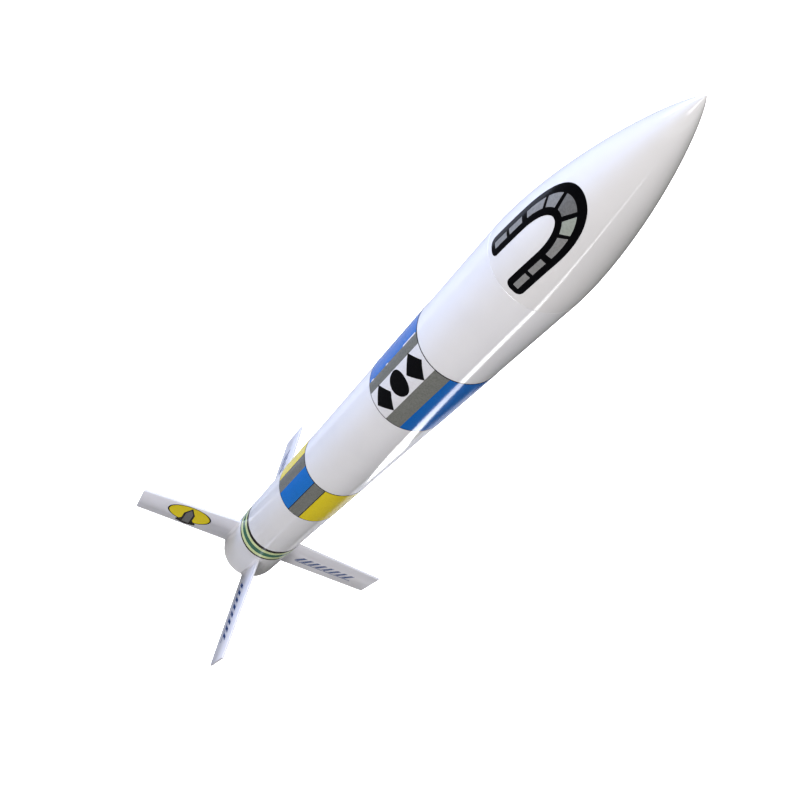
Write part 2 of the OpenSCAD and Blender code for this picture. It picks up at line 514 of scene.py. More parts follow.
# Decal film: flat printed ink, a touch less glossy than the enamel round it.
BLUE_FILM = PrintedFilm("royal_blue_decal_film", "#0c68ba", "#0a5eae", 0.14, 1.4)
BRIGHT_BLUE_FILM = PrintedFilm("bright_blue_decal_film", "#1c78ce", "#196ec0", 0.16, 1.4)
GREY_FILM = PrintedFilm("warm_grey_decal_film", "#7c7d76", "#6c6e66", 0.2, 1.4)
WHITE_FILM = PrintedFilm("white_decal_film", "#e9e9e9", "#e2e2e3", 0.14, 1.4)
YELLOW_FILM = PrintedFilm("signal_yellow_decal_film", "#f0da28", "#e6cf20", 0.18, 1.4)
PALE_YELLOW_FILM = PrintedFilm("pale_yellow_decal_film", "#e2efb2", "#d6e4a6", 0.18, 1.4)
BLACK_FILM = PrintedFilm("black_decal_film", "#020203", "#050506", 0.16, 1.36)
TEAL_FILM = PrintedFilm("dark_teal_decal_film", "#47765f", "#3e6b56", 0.2, 1.4)
SLATE_FILM = PrintedFilm("slate_decal_film", "#2e2d28", "#242320", 0.22, 1.4)
NAVY_FILM = PrintedFilm("navy_decal_film", "#123f7c", "#0e366d", 0.22, 1.4)
LIGHT_GREY_FILM = PrintedFilm("light_grey_decal_film", "#8f8f8c", "#838380", 0.2, 1.4)
PALE_GREEN_FILM = PrintedFilm("pale_green_grey_decal_film", "#a3aa9e", "#979e92", 0.2, 1.4)
DARK_GREY_FILM = PrintedFilm("dark_grey_decal_film", "#737370", "#676764", 0.2, 1.4)
# Papers and wood: no shine, visible fibre.
KRAFT = KraftPaper("spiral_wound_kraft_paper", "#b98d5c", "#a27746", 0.85)
GLASSINE = KraftPaper("glassine_lined_tube_paper", "#d9d2c2", "#cbc2ae", 0.6)
CARD = KraftPaper("folded_white_card", "#efeadd", "#dfd8c6", 0.8)
PLY = BirchPly("laser_cut_birch_plywood", "#dcbf8e", "#c59f68", 0.62)
FIBRE = PressedGrain("green_vulcanised_fibre", "#2f6b3f", "#265a34", 0.6, 1.5, 0.7)
MOTOR_WRAP = WrappedCase("printed_kraft_motor_case", "#c29a68", "#e8dcc8", 0.6)
# Plastics: soft sheen and mould grain.
NYLON = MouldedNylon("black_glass_filled_nylon", "#1b1b1d", "#151517", 0.42)
WHITE_STYRENE = MouldedNylon("white_moulded_styrene", "#efefec", "#e6e6e2", 0.35, 1.55, 0.9)
# Rammed fillings: granular and dull.
CLAY = PressedGrain("rammed_bentonite_clay", "#a9a296", "#8d8579", 0.9, 1.5, 0.45)
BLACK_POWDER = PressedGrain("pressed_black_powder", "#33322f", "#1f1e1c", 0.8, 1.5, 0.35)
DELAY_POWDER = PressedGrain("pressed_delay_powder", "#6c675e", "#555047", 0.85, 1.5, 0.4)
# Soft goods.
# The elastic's shade colour is painted shade in the hollows of its weave.
ELASTIC = WovenElastic("woven_cream_elastic", "#efe6cf", "#b6a988", 0.8)
CANOPY = CanopyFilm("orange_and_white_polythene_film", "#e8551c", "#f4f1ea", 0.28)
LINE = KraftPaper("waxed_white_cotton_line", "#eeeae0", "#d3ccbb", 0.75)
# The tissue's shade colour is painted shade in the folds of its crinkles.
TISSUE = CrepeTissue("crepe_wadding_tissue", "#dfe8ea", "#c3ced1", 0.9)


# ---------------------------------------------------------------- meshes


@dataclass
class Draft:
    """Faces gathered for one piece, each with its finish, before they become a mesh."""

    points: list[Point] = field(default_factory=list)
    faces: list[tuple[int, ...]] = field(default_factory=list)
    marks: list[int] = field(default_factory=list)
    finishes: list[Finish] = field(default_factory=list)
    uvs: list[Flat] = field(default_factory=list)

    def add(
        self, points: Sequence[Point], faces: Sequence[Sequence[int]], finish: Finish, uvs: Sequence[Flat] = ()
    ) -> None:
        """Add points in metres and the faces that join them.

        Args:
            points: Points of this part of the piece.
            faces: Indices into points, anticlockwise seen from outside.
            finish: What the faces are covered with.
            uvs: One flat position for each point, where the finish reads them.
        """
        if finish not in self.finishes:
            self.finishes.append(finish)
        first = len(self.points)
        self.points += [tuple(p) for p in points]
        self.uvs += list(uvs) or [(0.0, 0.0)] * len(points)
        self.faces += [tuple(first + i for i in f) for f in faces]
        self.marks += [self.finishes.index(finish)] * len(faces)

    def add_mesh(self, mesh: bpy.types.Mesh, finish: Finish) -> None:
        """Add a plain mesh, such as one that a node tree made, and drop the original."""
        self.add([tuple(v.co) for v in mesh.vertices], [tuple(p.vertices) for p in mesh.polygons], finish)
        bpy.data.meshes.remove(mesh)

    def piece(self, name: str, sharp: float = 35.0, merge: float = 0.0) -> Thing:
        """Make the object.

        Args:
            name: The piece's name.
            sharp: Edges that bend by more than this many degrees look sharp.
            merge: Points closer than this many millimetres become one.

        Returns:
            The object, at the origin.
        """
        mesh = bpy.data.meshes.new(name)
        mesh.from_pydata(self.points, [], self.faces)
        for finish in self.finishes:
            mesh.materials.append(finish.material())
        mesh.polygons.foreach_set("material_index", self.marks)
        layer = mesh.uv_layers.new(name="UVMap")
        for loop in mesh.loops:
            layer.data[loop.index].uv = self.uvs[loop.vertex_index]
        mesh.shade_smooth()
        if merge:
            work = bmesh.new()
            work.from_mesh(mesh)
            bmesh.ops.remove_doubles(work, verts=work.verts, dist=merge * MM)
            bmesh.ops.dissolve_degenerate(work, edges=work.edges, dist=merge * MM * 0.1)
            work.to_mesh(mesh)
            work.free()
        mesh.set_sharp_from_angle(angle=math.radians(sharp))
        mesh.validate()
        mesh.update()
        piece = bpy.data.objects.new(name, mesh)
        bpy.context.scene.collection.objects.link(piece)
        return piece


def grid_faces(rows: int, columns: int, round_columns: bool = False, round_rows: bool = False) -> Faces:
    """Quads of a grid whose points run along each row in turn.

    Args:
        rows: Number of rows of points.
        columns: Number of points in a row.
        round_columns: Whether the last point of a row joins the first.
        round_rows: Whether the last row joins the first.

    Returns:
        Faces that point outwards when columns run anticlockwise and rows run up.
    """
    faces = []
    for r in range(rows if round_rows else rows - 1):
        for c in range(columns if round_columns else columns - 1):
            r2, c2 = (r + 1) % rows, (c + 1) % columns
            faces.append((r * columns + c, r * columns + c2, r2 * columns + c2, r2 * columns + c))
    return faces


def lathe(profile: Sequence[Flat], segments: int = 128, closed: bool = True) -> tuple[list[Point], Faces]:
    """Spin a profile about the Z axis.

    Args:
        profile: Radius and height in millimetres, anticlockwise with the radius to the right.
        segments: Steps round the axis.
        closed: Whether the last point joins the first.

    Returns:
        Points in metres and their faces.
    """
    points = [
        (r * MM * math.cos(a), r * MM * math.sin(a), z * MM)
        for r, z in profile
        for a in (2 * math.pi * s / segments for s in range(segments))
    ]
    return points, grid_faces(len(profile), segments, True, closed)


def plate(rows: Sequence[Sequence[Flat]], place: Placer, thickness: float) -> tuple[list[Point], Faces]:
    """Make a thin closed plate over a grid of flat positions.

    Args:
        rows: Flat positions in millimetres, columns anticlockwise and rows up seen from outside.
        place: Turns a flat position and a height above the surface into a point in metres.
        thickness: Height of the top face in millimetres.

    Returns:
        Points in metres and their faces.
    """
    count, width = len(rows), len(rows[0])
    size = count * width
    points = [place(u, v, h) for h in (thickness, 0.0) for row in rows for u, v in row]
    top = grid_faces(count, width)
    faces = top + [tuple(size + i for i in reversed(f)) for f in top]
    rim = [c for c in range(width)]
    rim += [r * width + width - 1 for r in range(1, count)]
    rim += [(count - 1) * width + c for c in range(width - 2, -1, -1)]
    rim += [r * width for r in range(count - 2, 0, -1)]
    for a, b in zip(rim, rim[1:] + rim[:1]):
        faces.append((b, a, size + a, size + b))
    return points, faces


def columns_between(low: Callable[[float], float], high: Callable[[float], float], start: float, end: float,
                    columns: int = 24, rows: int = 2) -> list[list[Flat]]:
    """Fill a flat shape with columns.

    Args:
        low: Lower edge at each position across.
        high: Upper edge at each position across.
        start: Position of the first column in millimetres.
        end: Position of the last column.
        columns: Number of steps across.
        rows: Number of points up each column.

    Returns:
        Rows of flat positions for plate().
    """
    across = [start + (end - start) * c / columns for c in range(columns + 1)]
    return [[(u, low(u) + (high(u) - low(u)) * r / (rows - 1)) for u in across] for r in range(rows)]


def run_tree(tree: Tree, values: dict[str, object]) -> bpy.types.Mesh:
    """Run a Geometry Nodes tree once and keep the result as a plain mesh.

    Args:
        tree: A tree whose inputs have names.
        values: A value for each named input.

    Returns:
        The mesh that the tree makes.
    """
    host = bpy.data.objects.new("host", bpy.data.meshes.new("host"))
    bpy.context.scene.collection.objects.link(host)
    modifier = host.modifiers.new("tree", "NODES")
    modifier.node_group = tree
    for item in tree.interface.items_tree:
        if item.item_type == "SOCKET" and item.in_out == "INPUT" and item.name in values:
            modifier[item.identifier] = values[item.name]
    host.update_tag()
    graph = bpy.context.evaluated_depsgraph_get()
    mesh = bpy.data.meshes.new_from_object(host.evaluated_get(graph), depsgraph=graph)
    host.modifiers.clear()
    bpy.data.objects.remove(host)
    return mesh


def new_tree(name: str, inputs: dict[str, object]) -> tuple[Tree, Node]:
    """Start a Geometry Nodes tree, with a Material input after the given ones.

    Args:
        name: The tree's name.
        inputs: Default value of each input: its type says which kind of socket it needs.

    Returns:
        The tree and its group input node.
    """
    kinds = {bool: "NodeSocketBool", int: "NodeSocketInt", float: "NodeSocketFloat", tuple: "NodeSocketVector"}
    tree = bpy.data.node_groups.new(name, "GeometryNodeTree")
    tree.interface.new_socket("Mesh", in_out="OUTPUT", socket_type="NodeSocketGeometry")
    for label, value in inputs.items():
        socket = tree.interface.new_socket(label, in_out="INPUT", socket_type=kinds[type(value)])
        socket.default_value = value
    tree.interface.new_socket("Material", in_out="INPUT", socket_type="NodeSocketMaterial")
    return tree, add_node(tree, "NodeGroupInput")


def end_tree(tree: Tree, group: Node, mesh: Socket) -> Tree:
    """End a tree in Realize Instances and Set Material, and give the tree.

    Args:
        tree: The tree.
        group: Its input node, which has the material.
        mesh: The finished shape.

    Returns:
        The same tree.
    """
    plain = add_node(tree, "GeometryNodeRealizeInstances", {0: mesh})
    inputs = {"Geometry": plain.outputs[0], "Material": group.outputs["Material"]}
    dressed = add_node(tree, "GeometryNodeSetMaterial", inputs)
    add_node(tree, "NodeGroupOutput", {0: dressed.outputs[0]})
    return tree


def swept(tree: Tree, path: Node, section: Node, lift: Socket) -> Socket:
    """Sweep a section along a path, close its ends, and lift it.

    Args:
        tree: The tree.
        path: Node whose first output is the path.
        section: Node whose first output is the section.
        lift: How far up the result goes, in metres.

    Returns:
        The lifted mesh.
    """
    curves = {"Curve": path.outputs[0], "Profile Curve": section.outputs[0], "Fill Caps": True}
    mesh = add_node(tree, "GeometryNodeCurveToMesh", curves)
    shift = add_node(tree, "ShaderNodeCombineXYZ", {"Z": lift})
    inputs = {"Geometry": mesh.outputs[0], "Translation": shift.outputs[0]}
    return add_node(tree, "GeometryNodeTransform", inputs).outputs[0]


def sums(tree: Tree, operation: str, *values: Socket | float) -> Socket:
    """Add one math node and give its result."""
    return add_node(tree, "ShaderNodeMath", dict(enumerate(values)), operation=operation).outputs[0]


# ---------------------------------------------------------------- node trees


def curved_strip_tree() -> Tree:
    """Build the tree for a strip that lies round a tube: panels, rules and rings of every band.

    Returns:
        The tree.
    """
    tree, group = new_tree(
        "strip_round_a_tube",
        {
            "Radius": 0.02, "Thickness": 0.0001, "Start": 0.0, "Sweep": 1.0, "Bottom": 0.0,
            "Height": 0.01, "Steps": 24, "Whole Ring": False,
        },
    )
    g = group.outputs
    arc = add_node(
        tree,
        "GeometryNodeCurveArc",
        {"Resolution": g["Steps"], "Radius": g["Radius"], "Start Angle": g["Start"], "Sweep Angle": g["Sweep"]},
    )
    ring = add_node(tree, "GeometryNodeCurvePrimitiveCircle", {"Resolution": g["Steps"], "Radius": g["Radius"]})
    path = add_node(
        tree,
        "GeometryNodeSwitch",
        {"Switch": g["Whole Ring"], "False": arc.outputs["Curve"], "True": ring.outputs["Curve"]},
        input_type="GEOMETRY",
    )
    upright = add_node(tree, "GeometryNodeSetCurveNormal", {"Curve": path.outputs[0]}, mode="Z_UP")
    section = add_node(
        tree, "GeometryNodeCurvePrimitiveQuadrilateral", {"Width": g["Thickness"], "Height": g["Height"]}
    )
    middle = sums(tree, "MULTIPLY_ADD", g["Height"], 0.5, g["Bottom"])
    return end_tree(tree, group, swept(tree, upright, section, middle))


def ogive_tree() -> Tree:
    """Build the tree for one skin of the nose: radius times (1 - share^fullness)^bluntness, spun about Z.

    Returns:
        The tree.
    """
    tree, group = new_tree(
        "nose_skin",
        {
            "Radius": 0.02, "Length": 0.1, "Base": 0.45, "Fullness": 1.6, "Bluntness": 0.8,
            "Segments": 128, "Steps": 64, "Inner": False,
        },
    )
    g = group.outputs
    columns = sums(tree, "ADD", g["Segments"], 1.0)
    rows = sums(tree, "ADD", g["Steps"], 1.0)
    net = add_node(
        tree, "GeometryNodeMeshGrid", {"Size X": 1.0, "Size Y": 1.0, "Vertices X": columns, "Vertices Y": rows}
    )
    spot = add_node(tree, "ShaderNodeSeparateXYZ", {0: add_node(tree, "GeometryNodeInputPosition").outputs[0]})
    turn = sums(tree, "MULTIPLY", sums(tree, "ADD", spot.outputs["X"], 0.5), 2 * math.pi)
    part = sums(tree, "MULTIPLY", sums(tree, "ADD", spot.outputs["Y"], 0.5), math.pi / 2)
    share = sums(tree, "MINIMUM", sums(tree, "SINE", part), 1.0)
    rest = sums(tree, "MAXIMUM", sums(tree, "SUBTRACT", 1.0, sums(tree, "POWER", share, g["Fullness"])), 0.0)
    radius = sums(tree, "MULTIPLY", sums(tree, "POWER", rest, g["Bluntness"]), g["Radius"])
    place = add_node(
        tree,
        "ShaderNodeCombineXYZ",
        {
            "X": sums(tree, "MULTIPLY", radius, sums(tree, "COSINE", turn)),
            "Y": sums(tree, "MULTIPLY", radius, sums(tree, "SINE", turn)),
            "Z": sums(tree, "MULTIPLY_ADD", share, g["Length"], g["Base"]),
        },
    )
    spun = add_node(tree, "GeometryNodeSetPosition", {"Geometry": net.outputs["Mesh"], "Position": place.outputs[0]})
    closed = add_node(tree, "GeometryNodeMergeByDistance", {"Geometry": spun.outputs[0], "Distance": 1e-6})
    flipped = add_node(tree, "GeometryNodeFlipFaces", {"Mesh": closed.outputs[0]})
    chosen = add_node(
        tree,
        "GeometryNodeSwitch",
        {"Switch": g["Inner"], "False": closed.outputs[0], "True": flipped.outputs[0]},
        input_type="GEOMETRY",
    )
    return end_tree(tree, group, chosen.outputs[0])


def dash_row_tree() -> Tree:
    """Build the tree for a row of leaning dashes on a flat fin.

    Returns:
        The tree.
    """
    tree, group = new_tree(
        "row_of_dashes",
        {
            "Count": 8, "First": (0.03, 0.0, 0.02), "Pitch": 0.006, "Width": 0.002, "Height": 0.012,
            "Thickness": 0.0001, "Lean": 0.4,
        },
    )
    g = group.outputs
    size = add_node(tree, "ShaderNodeCombineXYZ", {"X": g["Width"], "Y": g["Thickness"], "Z": g["Height"]})
    block = add_node(tree, "GeometryNodeMeshCube", {"Size": size.outputs[0]})
    spot = add_node(tree, "ShaderNodeSeparateXYZ", {0: add_node(tree, "GeometryNodeInputPosition").outputs[0]})
    shift = add_node(tree, "ShaderNodeCombineXYZ", {"X": sums(tree, "MULTIPLY", spot.outputs["Z"], g["Lean"])})
    dash = add_node(tree, "GeometryNodeSetPosition", {"Geometry": block.outputs["Mesh"], "Offset": shift.outputs[0]})
    step = add_node(tree, "ShaderNodeCombineXYZ", {"X": g["Pitch"]})
    line = add_node(
        tree, "GeometryNodeMeshLine", {"Count": g["Count"], "Start Location": g["First"], "Offset": step.outputs[0]}
    )
    row = add_node(
        tree, "GeometryNodeInstanceOnPoints", {"Points": line.outputs[0], "Instance": dash.outputs[0]}
    )
    return end_tree(tree, group, row.outputs[0])


def winding_tree() -> Tree:
    """Build the tree for a line wound round a roll.

    Returns:
        The tree.
    """
    tree, group = new_tree(
        "line_wound_on_a_roll",
        {
            "Turns": 6.0, "Radius": 0.016, "Bottom": 0.1, "Height": 0.02, "Line Radius": 0.0004,
        },
    )
    g = group.outputs
    coil = add_node(
        tree,
        "GeometryNodeCurveSpiral",
        {"Resolution": 40, "Rotations": g["Turns"], "Start Radius": g["Radius"], "End Radius": g["Radius"],
         "Height": g["Height"]},
    )
    section = add_node(tree, "GeometryNodeCurvePrimitiveCircle", {"Resolution": 8, "Radius": g["Line Radius"]})
    return end_tree(tree, group, swept(tree, coil, section, g["Bottom"]))


# ---------------------------------------------------------------- sub-assemblies


@dataclass
class SubAssembly:
    """What every sub-assembly can do: set a finished piece on its body, and dress CAD nodes."""

    body: Body = Body.AIRFRAME

    def settle(self, piece: Thing, slot: str, *nodes: str, body: Body | None = None) -> Thing:
        """Ride the piece on its body and hide the CAD nodes it stands for.

        Args:
            piece: The finished piece, in place.
            slot: The record's material slot.
            nodes: CAD nodes that the piece replaces.
            body: The body, where it isn't the sub-assembly's own.

        Returns:
            The same piece.
        """
        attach(piece, (body or self.body).value)
        self.label(piece, slot, *nodes)
        return piece

    def label(self, piece: Thing, slot: str, *nodes: str) -> None:
        """Hide the nodes that the piece stands for, and report it.

        Args:
            piece: The finished piece.
            slot: The record's material slot; not used.
            nodes: CAD nodes that the piece replaces.
        """
        if nodes:
            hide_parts(*nodes)
        LOG.info("%s: %d faces, for %s", piece.name, len(piece.data.polygons), nodes or "nothing in CAD")

    def dress(self, node: str, finish: Finish) -> None:
        """Give a CAD node that stays its finish.

        Args:
            node: Name of the CAD node.
            finish: What covers it.
        """
        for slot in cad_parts[node].material_slots:
            slot.material = finish.material()
        LOG.info("%s keeps its CAD shape in %s", node, finish.name)


@dataclass
class BodyTube(SubAssembly):
    """Paper body tube: enamel outside, glassine inside, with a slot for each fin tab."""

    outer: float = 20.8
    inner: float = 20.25
    length: float = 457.2
    slot_half: float = 0.9
    slot_low: float = 20.56
    slot_high: float = 45.1

    def azimuths(self) -> list[float]:
        """List the columns in radians, with one at each side of every slot.

        Returns:
            The columns, anticlockwise.
        """
        side = math.asin(self.slot_half / self.outer)
        quarter = []
        steps = 36
        for s in range(steps):
            quarter.append(side + (math.pi / 2 - 2 * side) * s / steps)
        return [q * math.pi / 2 + a for q in range(4) for a in [*quarter, math.pi / 2 - side]]

    def build(self) -> None:
        """Make the tube from two skins, and cut the slots out of both."""
        around = self.azimuths()
        heights = [0.0, 0.25, 10.0, self.slot_low, self.slot_high, 80.0]
        heights += [80.0 + (self.length - 80.25) * i / 12 for i in range(1, 13)] + [self.length]
        radii = [self.outer] * len(heights)
        radii[0] = radii[-1] = self.outer - 0.2
        count, size = len(around), len(around) * len(heights)

        def skin(spans: Sequence[float]) -> list[Point]:
            """List the points of a skin that has one radius at each height."""
            pairs = zip(spans, heights)
            return [(r * MM * math.cos(a), r * MM * math.sin(a), z * MM) for r, z in pairs for a in around]

        def corner(row: int, column: int) -> int:
            """Give the index of a point of the outer skin."""
            return row * count + column % count

        low = heights.index(self.slot_low)
        per_quarter = count // 4
        cells = [(r, c) for r in range(len(heights) - 1) for c in range(count)]
        opened = {(low, c) for c in range(count) if c % per_quarter == per_quarter - 1}
        outside, inside = [], []
        for r, c in cells:
            if (r, c) not in opened:
                quad = (corner(r, c), corner(r, c + 1), corner(r + 1, c + 1), corner(r + 1, c))
                outside.append(quad)
                inside.append(tuple(size + i for i in reversed(quad)))
        edges = []
        for c in range(count):
            edges.append((corner(0, c + 1), corner(0, c)))
            edges.append((corner(len(heights) - 1, c), corner(len(heights) - 1, c + 1)))
        for r, c in opened:
            ring = [corner(r, c), corner(r + 1, c), corner(r + 1, c + 1), corner(r, c + 1)]
            edges += list(zip(ring[1:] + ring[:1], ring))
        draft = Draft()
        points = skin(radii) + skin([self.inner] * len(heights))
        draft.add(points, outside, WHITE_TUBE)
        draft.finishes.append(GLASSINE)
        draft.faces += inside + [(b, size + b, size + a, a) for a, b in edges]
        draft.marks += [1] * (len(inside) + len(edges))
        self.settle(draft.piece("tube_wall"), "painted_paper_tube", "body_tube")

    def height_on(self, azimuth: float, centre: float, base: float) -> Placer:
        """Give the function that lays flat positions on the tube.

        Args:
            azimuth: Where across is zero, in degrees.
            centre: Height that is zero, in millimetres.
            base: Radius of the surface underneath.

        Returns:
            Across, up and height in millimetres to a point in metres.
        """
        start = math.radians(azimuth)

        def place(across: float, up: float, height: float) -> Point:
            """Lay one flat position on the tube."""
            angle, radius = start + across / base, (base + height) * MM
            return (radius * math.cos(angle), radius * math.sin(angle), (centre + up) * MM)

        return place


@dataclass(frozen=True)
class Field:
    """One printed field of a band: azimuths in degrees, heights in millimetres above the band's foot."""

    start: float
    end: float
    finish: Finish
    low: float = 0.0
    high: float = 0.0
    level: float = 0.0


@dataclass
class PrintedBand(SubAssembly):
    """Decal wrapped round the tube: fields of colour side by side, with thin rules over them."""

    node: str = "upper_band"
    slot: str = "printed_film_upper"
    foot: float = 328.2
    height: float = 60.0
    radius: float = 20.8
    film: float = 0.1
    emblem_film: float = 0.03
    fields: tuple[Field, ...] = ()
    emblems: tuple[tuple[Emblem, float, float, float, float], ...] = ()

    def strip(self, tree: Tree, item: Field) -> bpy.types.Mesh:
        """Run the strip tree for one field or rule.

        Args:
            tree: The strip's tree.
            item: The field or rule.

        Returns:
            The strip as a plain mesh.
        """
        whole = item.end - item.start >= 359.9
        thickness = self.film + item.level
        high = item.high or self.height
        return run_tree(
            tree,
            {
                "Radius": (self.radius + thickness / 2) * MM,
                "Thickness": thickness * MM,
                "Start": math.radians(item.start),
                "Sweep": math.radians(item.end - item.start),
                "Bottom": (self.foot + item.low) * MM,
                "Height": (high - item.low) * MM,
                "Steps": 160 if whole else max(3, int((item.end - item.start) / 2) + 1),
                "Whole Ring": whole,
                "Material": item.finish.material(),
            },
        )

    def build(self, tree: Tree, tube: BodyTube) -> None:
        """Make the band as one piece.

        Args:
            tree: The strip's tree.
            tube: The tube under the band.
        """
        draft = Draft()
        for item in self.fields:
            draft.add_mesh(self.strip(tree, item), item.finish)
        for emblem, azimuth, centre, width, tall in self.emblems:
            place = tube.height_on(azimuth, centre, self.radius + self.film)
            draft.add(*plate(self.outline(emblem, width / 2, tall / 2), place, self.emblem_film), BLACK_FILM)
        self.settle(draft.piece(self.node + "_film"), self.slot, self.node)

    @staticmethod
    def outline(emblem: Emblem, half: float, rise: float) -> list[list[Flat]]:
        """Fill an emblem with columns.

        Args:
            emblem: Which shape.
            half: Half its width in millimetres.
            rise: Half its height.

        Returns:
            Rows of flat positions for plate().
        """
        edge = {
            Emblem.DIAMOND: lambda u: rise * max(1 - abs(u) / half, 0.02),
            Emblem.DISC: lambda u: rise * math.sqrt(max(1 - (u / half) ** 2, 0.0004)),
        }[emblem]
        return columns_between(lambda u: -edge(u), edge, -half, half, 32)


def upper_band() -> PrintedBand:
    """Blue band with a white field between two grey ones, and three plain emblems down the white.

    Returns:
        The band, not yet built.
    """
    film = (
        Field(-91.0, 196.5, BLUE_FILM),
        Field(-163.5, -149.0, GREY_FILM),
        Field(-149.0, -112.0, WHITE_FILM),
        Field(-112.0, -91.0, GREY_FILM),
        Field(-164.6, -162.9, WHITE_FILM, 44.0, 58.0, 0.02),
        Field(-164.4, -163.0, WHITE_FILM, 22.5, 25.0, 0.02),
        Field(-164.4, -162.8, WHITE_FILM, 3.0, 6.5, 0.02),
        Field(0.0, 360.0, BLACK_FILM, 0.0, 0.5, 0.02),
        Field(0.0, 360.0, BLACK_FILM, 59.5, 60.0, 0.02),
    )
    marks = (
        (Emblem.DIAMOND, -131.0, 376.2, 14.0, 17.5),
        (Emblem.DISC, -131.0, 357.6, 12.6, 15.4),
        (Emblem.DIAMOND, -131.0, 339.4, 14.0, 17.5),
    )
    return PrintedBand(fields=film, emblems=marks)


def lower_band() -> PrintedBand:
    """Yellow band with a blue field between two grey ones, outlined in dark rules.

    Returns:
        The band, not yet built.
    """
    film = (
        Field(-97.6, 191.3, YELLOW_FILM),
        Field(-168.7, -148.3, GREY_FILM),
        Field(-148.3, -118.7, BRIGHT_BLUE_FILM),
        Field(-118.7, -97.6, GREY_FILM),
        Field(-169.6, -168.0, SLATE_FILM, 0.0, 0.0, 0.02),
        Field(-119.4, -118.1, SLATE_FILM, 0.0, 0.0, 0.02),
        Field(-98.4, -96.9, SLATE_FILM, 0.0, 0.0, 0.02),
        Field(0.0, 360.0, SLATE_FILM, 0.0, 0.7, 0.02),
        Field(0.0, 360.0, SLATE_FILM, 55.7, 56.4, 0.02),
    )
    return PrintedBand(
        node="lower_band", slot="printed_film_lower", foot=162.0, height=56.4, fields=film
    )


def tail_band() -> PrintedBand:
    """Five rings above the fins: black, yellow, broad teal, yellow, black.

    Returns:
        The band, not yet built.
    """
    edges = (0.0, 2.8, 7.8, 15.0, 19.6, 24.2)
    inks = (SLATE_FILM, PALE_YELLOW_FILM, TEAL_FILM, PALE_YELLOW_FILM, SLATE_FILM)
    film = tuple(Field(0.0, 360.0, ink, low, high) for ink, low, high in zip(inks, edges, edges[1:]))
    return PrintedBand(node="tail_band", slot="printed_film_tail", foot=56.0, height=24.2, fields=film)


